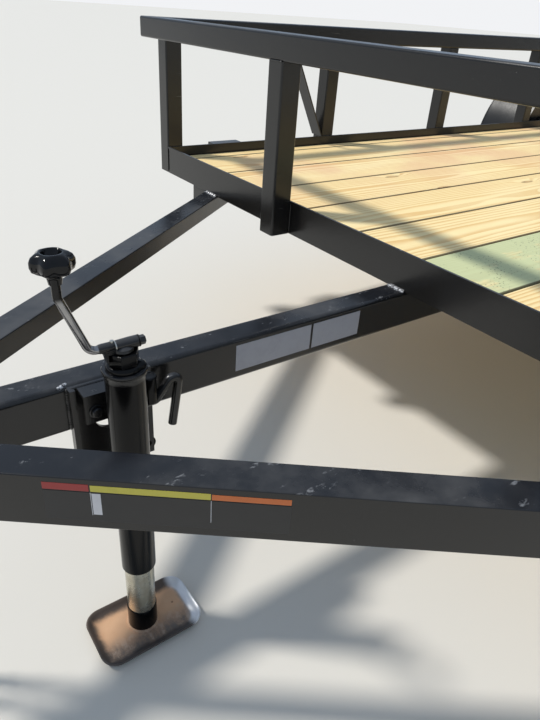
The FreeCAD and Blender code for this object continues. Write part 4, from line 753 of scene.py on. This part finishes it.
class AddJackHead(TrailerOperator):
    """The jack's pressed head and its rim"""

    bl_idname = "trailer.add_jack_head"
    bl_label = "Jack head"

    def make(self):
        low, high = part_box("jack_head")
        centre = Vector((JACK.x, JACK.y, low.z))
        neck = high.z - low.z
        rim = Form()
        rim.turned([(0.0262, 0.0), (0.0269, 0.0004), (0.0269, 0.0066), (0.0275, 0.0078), (0.0288, 0.0084),
                    (0.0293, 0.0096), (0.0293, 0.0137), (0.0286, 0.0148), (0.0262, 0.015),
                    (0.0248, 0.0146), (0.0236, 0.0144)], centre, "Z", 80)
        rim.done("jack_head_rim", "jack", smooth=50)
        cap = Form()
        cap.turned([(0.0238, 0.014), (0.0236, 0.0178), (0.0228, 0.02), (0.0212, 0.0214), (0.019, 0.022)],
                   centre, "Z", 64)
        cap.turned([(0.0202, 0.02), (0.0205, 0.0206), (0.0205, neck - 0.0012), (0.0196, neck)],
                   centre, "Z", 6)
        cap.turned([(0.009, 0.014), (0.009, 0.018), (0.008, 0.0212), (0.0056, 0.0232), (0.002, 0.024)],
                   centre + Vector((-0.0168, 0.009, 0)), "Z", 28)
        cap.done("jack_head_cap", "jack", "jack_enamel", replaces=("jack_head",), bevel=0.0007)


class AddCrank(TrailerOperator):
    """The crank: hub, barrel, end bolt, bent rod and lobed knob"""

    bl_idname = "trailer.add_crank"
    bl_label = "Crank and knob"

    AXIS_OVER_NECK = 0.0083
    ROD_BEND = 0.014
    ROD_RADIUS = 0.0054

    def make(self):
        knob = Vector((middle_of("jack_knob").x, JACK.y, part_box("jack_knob")[0].z))
        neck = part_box("jack_head")[1].z
        z = neck + self.AXIS_OVER_NECK
        middle = Vector((JACK.x, JACK.y, z))
        barrel = Form()
        barrel.turned([(0.0052, -0.0208), (0.007, -0.0204), (0.0079, -0.0192), (0.0079, -0.008),
                       (0.0072, 0.0084), (0.0066, 0.0098), (0.004, 0.01)], middle, "X", 40)
        barrel.turned([(0.0058, -0.0296), (0.0065, -0.0289), (0.0065, -0.022)], middle, "X", 6)
        barrel.turned([(0.0076, -0.0222), (0.008, -0.0219), (0.008, -0.0206)], middle, "X", 32)
        barrel.turned([(0.0132, 0.0006), (0.0138, 0.0012), (0.0128, 0.0048), (0.008, 0.008)],
                      (JACK.x, JACK.y, neck), "Z", 40)
        barrel.prism([(0.003, 0.027), (-0.004, 0.0242), (-0.012, 0.0226), (-0.012, 0.0212),
                      (0.0005, 0.0212), (0.0005, 0.006), (0.006, 0.006), (0.007, 0.026)],
                     -0.0062, 0.0062, (JACK.x, JACK.y, neck))
        barrel.done("crank_barrel", "jack_crank", replaces=("jack_crank",), bevel=0.0005)
        rod = Form()
        rod.swept(rounded([middle + Vector((0.012, 0, 0.001)), middle + Vector((0.0425, 0, 0.001)),
                           (knob.x, knob.y, z + 0.079), knob + Vector((0, 0, 0.012))], self.ROD_BEND),
                  self.ROD_RADIUS, 22)
        rod.done("crank_rod", "jack_crank", "crank_steel")
        sleeve = Form()
        sleeve.swept([middle + Vector((x, 0, 0.001)) for x in (0.0115, 0.0125, 0.027, 0.03, 0.033)],
                     lambda s: (0.0056, 0.0064, 0.0064, 0.0061, 0.0052)[round(s * 4)], 26)
        sleeve.done("crank_sleeve", "jack_crank", smooth=50)
        plug = Form()
        plug.turned([(0.006, 0.0098), (0.0074, 0.01), (0.0074, 0.0114), (0.006, 0.0116)], middle, "X", 28)
        plug.turned([(0.0012, -0.013), (0.0021, -0.0124), (0.0021, 0.008), (0.0026, 0.0084),
                     (0.0026, 0.0096), (0.0012, 0.01)], middle + Vector((0.0142, 0.0008, 0)), "Z", 14)
        plug.done("crank_pin", "jack_crank", "zinc")
        lobes = self.sizes.knob_lobes

        def lobed(turn, radius):
            share = min(1.0, max(0.0, (radius - 0.013) / 0.006))
            return 1 - 0.17 * share * (0.5 - 0.5 * math.cos(turn * lobes + 0.5)) ** 0.8

        grip = Form()
        grip.turned([(0.0062, 0.0), (0.0074, 0.0003), (0.0086, 0.007), (0.0095, 0.0108), (0.0126, 0.0128),
                     (0.0186, 0.014), (0.0233, 0.017), (0.025, 0.0222), (0.0248, 0.028),
                     (0.0224, 0.033), (0.018, 0.0362), (0.0136, 0.0377), (0.0117, 0.0377),
                     (0.0108, 0.0362), (0.0102, 0.03), (0.0084, 0.0284), (0.001, 0.028)],
                    knob, "Z", 96, lobed)
        grip.done("crank_knob", "jack_crank", "black_plastic", ("jack_knob",), smooth=60)


class AddPullPin(TrailerOperator):
    """The swivel's pull pin, a bent black bar"""

    bl_idname = "trailer.add_pull_pin"
    bl_label = "Jack pull pin"

    BENDS = ((0.0, 0.409), (0.024, 0.409), (0.051, 0.444), (0.062, 0.434), (0.05, 0.356))
    BEND_RADIUS = 0.0085
    PIN_RADIUS = 0.0068

    def make(self):
        y = middle_of("jack_pull_pin").y
        pin = Form()
        path = [(BRACKET_REAR - back, y, z) for back, z in self.BENDS]
        pin.swept(rounded(path, self.BEND_RADIUS), self.PIN_RADIUS, 20)
        pin.done("swivel_pull_pin", replaces=("jack_pull_pin",), smooth=70)


class AddJackMount(TrailerOperator):
    """The bolt, welds and pin sleeve of the jack's bracket"""

    bl_idname = "trailer.add_jack_mount"
    bl_label = "Jack bracket"

    def make(self):
        low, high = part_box("jack_mount")
        half, step = self.sizes.bead_half, self.sizes.bead_step
        head = (JACK.x + 0.029, TONGUE_HALF + 0.0345, 0.429)
        bolt = Form()
        bolt.turned([(0.0102, -0.0005), (0.0102, 0.0014), (0.0096, 0.0018), (0.008, 0.0018)], head, "Y", 32)
        bolt.turned([(0.0076, 0.001), (0.008, 0.0018), (0.008, 0.0062), (0.0066, 0.0074), (0.003, 0.0076)],
                    head, "Y", 6)
        bolt.done("bracket_bolt", bevel=0.0004)
        seam = Form()
        y = TONGUE_HALF + 0.001
        for number, (x, side) in enumerate(((low.x, -1), (high.x, 1))):
            seam.bead((x, y, 0.384), (x, y, 0.454), (side, 1, 0), half, step, 31 + number)
        y = TONGUE_HALF + 0.0055
        seam.bead((low.x + 0.004, y, high.z), (high.x - 0.004, y, high.z), (0, 0.2, 1), half * 0.7, step, 35)
        y = TONGUE_HALF + 0.0062
        seam.bead((BRACKET_REAR, y, 0.393), (BRACKET_REAR, y, high.z - 0.002), (-1, 1, 0),
                  half * 0.9, step, 37)
        seam.done("bracket_welds")
        sleeve = Form()
        sleeve.turned([(0.01, 0.0), (0.0122, 0.0015), (0.0122, 0.0432), (0.0112, 0.0448), (0.0086, 0.0452),
                       (0.0078, 0.044), (0.002, 0.0436)],
                      (BRACKET_REAR - 0.0134, TONGUE_HALF + 0.024, 0.41), "Z", 40)
        sleeve.turned([(0.0125, -0.0058), (0.0125, -0.0008), (0.0118, -0.0002), (0.005, 0.0)],
                      (low.x + 0.009, TONGUE_HALF + 0.006, low.z + 0.0175), "Y", 36)
        sleeve.done("pin_sleeve", finish="jack_enamel", bevel=0.0003)
        # a weld lump on the tongue's top, coloured silver-bright as a painted highlight
        lump = Form()
        lump.bead((JACK.x + 0.051, TONGUE_HALF - 0.009, high.z + 0.0002),
                  (JACK.x + 0.067, TONGUE_HALF - 0.003, high.z - 0.0012), (0, 0.6, 1), half * 0.8, step, 43)
        lump.done("tongue_lump", finish="weld_with_painted_glints")


class AddFoot(TrailerOperator):
    """The pressed foot dish, its weld ring and the black socket of the ram"""

    bl_idname = "trailer.add_foot"
    bl_label = "Jack foot"

    # how far in, corner radius and height of the dish's loops, from underneath over the rim and in
    DISH = ((0.019, 0.016, 0.0), (0.012, 0.02, 0.0006), (0.006, 0.023, 0.0036), (0.0015, 0.026, 0.01),
            (0.0002, 0.027, 0.0138), (0.001, 0.0265, 0.0149), (0.003, 0.0255, 0.0146),
            (0.006, 0.024, 0.0108), (0.0105, 0.022, 0.0068), (0.0165, 0.019, 0.0046), (0.024, 0.015, 0.004))
    RING_STEPS = 150
    RING_RIPPLES = 19

    def make(self):
        middle = middle_of("jack_foot")
        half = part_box("jack_foot")[1] - middle
        dish = Form()
        dish.skin([[Vector((middle.x, middle.y, 0)) + point
                    for point in round_box(half.x - inset, half.y - inset, corner, z)]
                   for inset, corner, z in self.DISH])
        dish.done("foot_dish", "jack_leg", "rusty_zinc", ("jack_foot",), smooth=60)
        centre = Vector((JACK.x, JACK.y, 0))
        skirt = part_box("jack_ram")[1].x - JACK.x + 0.0012
        socket = Form()
        socket.turned([(skirt, 0.004), (skirt, 0.0485), (skirt - 0.0003, 0.05), (skirt - 0.0011, 0.0504)],
                      centre, "Z", 64)
        socket.done("ram_socket", "jack_leg", "jack_enamel", smooth=50)
        ring = Form()
        loops = []
        for n in range(self.RING_STEPS + 1):
            turn = math.tau * n / self.RING_STEPS
            ripple = 0.82 + 0.18 * abs(math.cos(turn * self.RING_RIPPLES))
            out = Vector((math.cos(turn), math.sin(turn), 0))
            loops.append([centre + out * (skirt + 0.004 * ripple * math.cos(k * math.pi / 6))
                          + Vector((0, 0, 0.0036 + 0.0036 * ripple * math.sin(k * math.pi / 6)))
                          for k in range(7)])
        ring.skin(loops, closed=False, ends=False)
        ring.done("foot_weld", "jack_leg", "rusty_zinc", smooth=60)


class AddLabels(TrailerOperator):
    """Blank films where the tongue carries its plates and stripes"""

    bl_idname = "trailer.add_labels"
    bl_label = "Blank labels"

    def make(self):
        proud = self.sizes.label_proud
        y = TONGUE_HALF
        plates = Form()
        for front, back in ((1.6085, 1.452), (1.447, 1.3352)):
            plates.block((back, y - 0.001, 0.397), (front, y + proud, 0.4455))
        plates.done("blank_plates", finish="film_grey", bevel=0.0001)
        place = Matrix.Translation((RAIL_FRONT, ARM_FOOT, 0)) @ Matrix.Rotation(-ARM_TURN, 4, "Z")
        strips = {"film_dark": [(0.9217, 0.639, 0.3935, 0.4378)],
                  "film_pale": [(0.8678, 0.8671, 0.403, 0.4378), (0.8662, 0.856, 0.4042, 0.4366),
                                (0.731, 0.7303, 0.404, 0.4378)],
                  "film_red": [(0.9215, 0.869, 0.4392, 0.449)],
                  "film_yellow": [(0.8672, 0.7312, 0.4392, 0.4482)],
                  "film_orange": [(0.73, 0.64, 0.4392, 0.4472)]}
        for finish, blocks in strips.items():
            film = Form()
            lift = proud * (1.6 if finish == "film_pale" else 1)
            for front, back, low, high in blocks:
                film.block((back, y - 0.001, low), (front, y + lift, high), place)
            film.done("blank_strip_" + finish[5:], finish=finish, bevel=0.0001)


class AddCoupler(TrailerOperator):
    """The pressed coupler, its rolled lip, rivets, latch and grip"""

    bl_idname = "trailer.add_coupler"
    bl_label = "Coupler"

    WALL = 0.0045
    LIP_RADIUS = 0.0026

    def make(self):
        low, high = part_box("coupler")
        ball = high.x - COUPLER_HALF
        stations = [(low.x, 0.033, high.z, 0.006), (2.3, 0.033, high.z, 0.006),
                    (2.368, 0.0325, high.z, 0.008), (2.395, 0.03, high.z - 0.001, 0.013),
                    (2.42, 0.03, high.z - 0.001, 0.022), (2.44, 0.032, high.z, 0.03)]
        for n in range(9):
            turn = math.pi / 2 * n / 9
            half = max(COUPLER_HALF * math.cos(turn), 0.004)
            stations.append((ball + COUPLER_HALF * math.sin(turn), half,
                             high.z - COUPLER_HALF + COUPLER_HALF * math.cos(turn) ** 0.9, half * 0.98))
        shell = Form()
        shell.skin([self.bridge(*station, low.z) for station in stations], closed=False, ends=False)
        made = shell.done("coupler_shell", replaces=("coupler",), smooth=50)
        wall = made.modifiers.new("wall", "SOLIDIFY")
        wall.thickness = self.WALL
        wall.offset = -1
        edge = made.modifiers.new("edges", "BEVEL")
        edge.width, edge.segments, edge.limit_method = 0.0012, 2, "ANGLE"
        lip = Form()
        z = low.z + 0.0015
        path = [(low.x + 0.002, 0.031, z), (2.4, 0.029, z), (2.44, 0.0305, z)]
        path += [(ball + 0.031 * math.sin(math.pi * n / 16), 0.031 * math.cos(math.pi * n / 16), z)
                 for n in range(17)]
        path += [(x, -y, z) for x, y, z in reversed(path[:3])]
        lip.swept(path, self.LIP_RADIUS, 10)
        for x in (2.225, 2.335):
            for side in (-1, 1):
                lip.turned([(0.0085, 0.0), (0.009, 0.0012), (0.0078, 0.0052), (0.006, 0.0058)],
                           (x, side * COUPLER_HALF, 0.428), "Y", 6, flip=side)
        lip.done("coupler_lip")
        self.latch(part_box("coupler_latch")[1].z)

    @staticmethod
    def latch(top):
        """The latch: its post, two cheeks, the grip over them and the pin across."""
        latch = Form()
        latch.prism([(0.462, 2.3055), (0.462, 2.342), (0.483, 2.34), (0.486, 2.332), (0.486, 2.312)],
                    -0.01, 0.01)
        for side in (-1, 1):
            y = side * 0.0125
            latch.prism([(0.48, 2.304), (0.476, 2.324), (0.48, 2.342), (0.485, 2.37),
                         (top - 0.004, 2.41), (top, 2.414), (top, 2.38), (top - 0.003, 2.33),
                         (top - 0.007, 2.306)], y - 0.0015, y + 0.0015)
        latch.prism([(top - 0.003, 2.328), (top - 0.0005, 2.33), (top, 2.38), (top, 2.419),
                     (top - 0.004, 2.42), (top - 0.004, 2.414), (top - 0.003, 2.38)],
                    -0.014, 0.014)
        latch.turned([(0.004, -0.018), (0.0062, -0.0172), (0.0062, -0.015), (0.0036, -0.015),
                      (0.0036, 0.015), (0.0062, 0.015), (0.0062, 0.0172), (0.004, 0.018)],
                     (2.324, 0, 0.479), "Y", 20)
        latch.done("coupler_latch_handle", replaces=("coupler_latch",), bevel=0.0007)

    @staticmethod
    def bridge(x, half, top, corner, low):
        """One cross section of the pressed channel, from one skirt over the top to the other."""
        points = []
        for side in (-1, 1):
            arc = [Vector((x, side * (half - corner + corner * math.cos(turn)),
                           top - corner + corner * math.sin(turn)))
                   for turn in (math.pi / 2 * n / 6 for n in range(7))]
            skirt = [Vector((x, side * half, low + (top - corner - low) * n / 4)) for n in range(4)]
            points.append(skirt + arc)
        return points[0] + points[1][::-1]


class AddWheels(TrailerOperator):
    """Tyres with their tread and side ribs, valves and wheel nuts"""

    bl_idname = "trailer.add_wheels"
    bl_label = "Wheels"

    SIDE_RIBS = 150
    VALVE = ((0.148, 0.05), (0.1475, 0.062), (0.144, 0.078), (0.1425, 0.084))
    NUTS = 5
    NUT_CIRCLE = 0.05715

    def make(self):
        for hand, side in SIDES:
            low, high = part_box("tyre_" + hand)
            middle = (low + high) / 2
            body = "wheel_" + hand
            radius = (high.z - low.z) / 2
            half = (high.y - low.y) / 2
            deep = self.sizes.tread_deep
            tyre = Form()
            outline = [(0.1905, -0.056), (0.189, -0.07), (0.193, -0.077), (0.201, -0.08),
                       (0.206, -0.083), (0.2075, -0.0875), (0.212, -0.089), (0.23, -0.0955),
                       (0.2345, -0.0985), (0.2375, -0.0985), (0.24, -0.0962), (0.255, -0.1002),
                       (0.27, half * -0.995), (0.2725, -half), (0.275, -half), (0.2772, half * -0.988),
                       (0.29, -0.0992), (0.305, -0.0968), (0.3075, -0.0978), (0.31, -0.0964),
                       (0.322, -0.0905), (0.331, -0.0838), (radius - deep - 0.001, -0.077),
                       (radius - deep, -0.06), (radius - deep + 0.001, -0.03)]
            outline += [(r, -h) for r, h in reversed(outline)]
            tyre.turned(outline, middle, "Y", 128, ends=False)
            self.tread(tyre, middle, radius, deep)
            for n in range(self.SIDE_RIBS):
                turn = Matrix.Translation(middle) @ Matrix.Rotation(math.tau * n / self.SIDE_RIBS, 4, "Y")
                for y in (-0.0946, 0.0946):
                    tyre.block((-0.0011, y - 0.0022, 0.3145), (0.0011, y + 0.0022, 0.3245), turn)
            tyre.done("tyre_tread_" + hand, body, "tyre_rubber", ("tyre_" + hand,), smooth=32)
            valve = Form()
            valve.swept([middle + Vector((x, side * out, 0)) for x, out in self.VALVE],
                        lambda s: 0.0056 - 0.002 * s)
            valve.done("valve_" + hand, body, "tyre_rubber")
            self.nuts(hand, side, body)

    def tread(self, tyre, middle, radius, deep):
        """Five ribs of slanted blocks; the outer ones are notched."""
        count = self.sizes.tread_count
        ribs = ((-0.079, -0.05, 0.35, 0.8), (-0.0445, -0.018, -0.55, 0.9), (-0.0125, 0.0125, 0.55, 0.93),
                (0.018, 0.0445, -0.55, 0.9), (0.05, 0.079, 0.35, 0.8))
        for number, (inner, outer, lean, fill) in enumerate(ribs):
            wide = math.tau / count * fill
            for n in range(count):
                start = math.tau * (n + 0.37 * number) / count
                loops = []
                for depth, shrink in ((deep + 0.002, 0.0), (0.0, 0.0006)):
                    points = []
                    for across, share in ((inner + shrink, 0.0), (outer - shrink, 1.0)):
                        out = radius - depth - 0.0016 * (abs(across) / 0.079) ** 2.2
                        turn = start + lean * wide * (share - 0.5)
                        pair = []
                        for slide in (0.0, 0.5, 1.0):
                            notch = 0.0022 * (0.5 - abs(slide - 0.5)) * (1 if share else -1)
                            angle = turn + wide * slide
                            pair.append(middle + Vector((math.sin(angle) * out, across - notch,
                                                         math.cos(angle) * out)))
                        points += pair if not share else pair[::-1]
                    loops.append(points)
                tyre.skin(loops)

    def nuts(self, hand, side, body):
        """Chamfered hexagons with a domed end, on flanged seats."""
        low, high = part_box("wheel_nuts_" + hand)
        back = low.y if side > 0 else high.y
        nuts = Form()
        for n in range(self.NUTS):
            turn = math.pi / 2 + math.tau * n / self.NUTS
            centre = (AXLE.x + self.NUT_CIRCLE * math.cos(turn), back,
                      AXLE.z + self.NUT_CIRCLE * math.sin(turn))
            for steps, *outline in (
                    (24, (0.0107, 0.0), (0.0112, 0.0012), (0.0106, 0.0024), (0.0092, 0.0026)),
                    (6, (0.01, 0.002), (0.0104, 0.003), (0.0104, 0.0135), (0.0092, 0.015), (0.007, 0.016)),
                    (20, (0.0076, 0.015), (0.0074, 0.017), (0.0058, 0.019), (0.003, 0.0199), (0.0004, 0.02))):
                nuts.turned(outline, centre, "Y", steps, flip=side)
        nuts.done("capped_nuts_" + hand, body, "chrome", ("wheel_nuts_" + hand,), bevel=0.0004)


class AddGateMesh(TrailerOperator):
    """Expanded metal on the gate and its tack welds"""

    bl_idname = "trailer.add_gate_mesh"
    bl_label = "Gate mesh"

    BOND = 0.0055
    TACKS = 24

    def make(self):
        low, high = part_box("gate_mesh")
        x = high.x - self.sizes.mesh_strand / 2
        columns = int((high.y - low.y) / (self.sizes.mesh_long / 2))
        rows = int((high.z - low.z) / (self.sizes.mesh_short / 2))
        pitch_y = (high.y - low.y - 0.012) / columns
        pitch_z = (high.z - low.z - 0.004) / rows
        mesh = Form()
        points = {}

        def corner(column, row, end):
            key = (column, row, end)
            if key not in points:
                y = low.y + 0.006 + column * pitch_y + end * self.BOND
                points[key] = mesh.mesh.verts.new((x, y, low.z + 0.002 + row * pitch_z))
            return points[key]

        for column in range(1, columns):
            for row in range(1, rows):
                if (column + row) % 2:
                    mesh.mesh.faces.new((corner(column - 1, row, 1), corner(column, row - 1, -1),
                                         corner(column, row - 1, 1), corner(column + 1, row, -1),
                                         corner(column, row + 1, 1), corner(column, row + 1, -1)))
        made = mesh.done("gate_expanded_mesh", "gate", replaces=("gate_mesh",))
        strand = made.modifiers.new("strands", "WIREFRAME")
        strand.thickness = self.sizes.mesh_strand
        strand.use_even_offset = False
        strand.use_relative_offset = False
        tacks = Form()
        luck = random.Random(12)
        for z in (low.z + 0.004, high.z - 0.004):
            for n in range(self.TACKS):
                place = low.y + 0.03 + (high.y - low.y - 0.06) * n / (self.TACKS - 1)
                y = place + luck.uniform(-0.006, 0.006)
                tacks.bead((low.x + 0.0005, y - 0.007, z), (low.x + 0.0005, y + 0.007, z), (-1, 0, 0),
                           0.003, 0.004, n)
        tacks.done("mesh_tacks", "gate")


class BuildStage(TrailerOperator):
    """Floor, soft studio lights and the camera at the photograph's angle"""

    bl_idname = "trailer.build_stage"
    bl_label = "Stage"

    CAMERA_PLACE = Vector((2.069, 0.717, 0.92))
    HEADING = math.radians(232.48)
    DIP = math.radians(30.91)
    ROLL = math.radians(4.23)
    FOCAL_PIXELS = 589.8
    LONG_SIDE_PIXELS = 720
    SENSOR = 36.0
    FLOOR_REACH = 70.0
    SUN_AIM = Vector((-0.62, 0.5, -1.0))
    # colour and strength of the soft light all round, then of what the camera sees behind the trailer
    SKY = (((0.66, 0.8, 1.0, 1), 0.6), ((0.93, 0.94, 0.96, 1), 0.95))

    def make(self):
        for name in ("Cube", "Light", "Camera"):
            if name in bpy.data.objects:
                bpy.data.objects.remove(bpy.data.objects[name])
        self.floor()
        self.lights()
        self.camera()
        bpy.context.scene.view_settings.view_transform = "Standard"

    def floor(self):
        sheet = Form()
        sheet.mesh.faces.new(sheet.loop([(x * self.FLOOR_REACH, y * self.FLOOR_REACH, 0)
                                         for x, y in ((-1, -1), (1, -1), (1, 1), (-1, 1))]))
        data = bpy.data.meshes.new("studio_floor")
        sheet.mesh.to_mesh(data)
        sheet.mesh.free()
        made = stand("studio_floor", data)
        data.materials.append(FINISHES["floor"])

    def lights(self):
        sun = bpy.data.lights.new("key", "SUN")
        sun.energy = 3.1
        sun.color = (1.0, 0.965, 0.9)
        sun.angle = math.radians(6)
        stand("key", sun).rotation_euler = self.SUN_AIM.to_track_quat("-Z", "Y").to_euler()
        world = bpy.context.scene.world or bpy.data.worlds.new("studio")
        bpy.context.scene.world = world
        world.use_nodes = True
        tree = world.node_tree
        tree.nodes.clear()
        out = tree.nodes.new("ShaderNodeOutputWorld")
        mixer = tree.nodes.new("ShaderNodeMixShader")
        path = tree.nodes.new("ShaderNodeLightPath")
        tree.links.new(path.outputs["Is Camera Ray"], mixer.inputs[0])
        for number, (colour, strength) in enumerate(self.SKY, 1):
            sky = tree.nodes.new("ShaderNodeBackground")
            sky.inputs["Color"].default_value = colour
            sky.inputs["Strength"].default_value = strength
            tree.links.new(sky.outputs[0], mixer.inputs[number])
        tree.links.new(mixer.outputs[0], out.inputs["Surface"])

    def camera(self):
        flat = math.cos(self.DIP)
        ahead = Vector((flat * math.cos(self.HEADING), flat * math.sin(self.HEADING), -math.sin(self.DIP)))
        level = ahead.cross(Vector((0, 0, 1))).normalized()
        over = level.cross(ahead)
        right = level * math.cos(self.ROLL) + over * math.sin(self.ROLL)
        up = over * math.cos(self.ROLL) - level * math.sin(self.ROLL)
        data = bpy.data.cameras.new("camera")
        data.sensor_width = self.SENSOR
        data.lens = self.FOCAL_PIXELS / self.LONG_SIDE_PIXELS * self.SENSOR
        data.clip_start = 0.01
        data.clip_end = 300
        made = stand("camera", data)
        turn = Matrix((right, up, -ahead)).transposed().to_4x4()
        made.matrix_world = Matrix.Translation(self.CAMERA_PLACE) @ turn
        bpy.context.scene.camera = made


class TRAILER_PT_dress(bpy.types.Panel):
    """Lists the steps that dress the trailer"""

    bl_idname = "TRAILER_PT_dress"
    bl_label = "Trailer"
    bl_space_type = "VIEW_3D"
    bl_region_type = "UI"
    bl_category = "Trailer"

    def draw(self, context):
        for step in STEPS:
            self.layout.operator(step.bl_idname)
        for group in (context.scene.trailer_sizes, context.scene.trailer_colours):
            for name in group.bl_rna.properties.keys():
                if name not in ("rna_type", "name"):
                    self.layout.prop(group, name)


STEPS = (DressFrame, AddWelds, AddJackHead, AddCrank, AddPullPin, AddJackMount, AddFoot, AddLabels,
         AddCoupler, AddWheels, AddGateMesh, BuildStage)
CLASSES = (TrailerSizes, TrailerColours) + STEPS + (TRAILER_PT_dress,)


def register():
    for kind in CLASSES:
        bpy.utils.register_class(kind)
    bpy.types.Scene.trailer_sizes = PointerProperty(type=TrailerSizes)
    bpy.types.Scene.trailer_colours = PointerProperty(type=TrailerColours)


def unregister():
    del bpy.types.Scene.trailer_colours
    del bpy.types.Scene.trailer_sizes
    for kind in reversed(CLASSES):
        bpy.utils.unregister_class(kind)


def main():
    register()
    for step in STEPS:
        group, name = step.bl_idname.split(".")
        getattr(getattr(bpy.ops, group), name)()


if __name__ == "__main__":
    main()
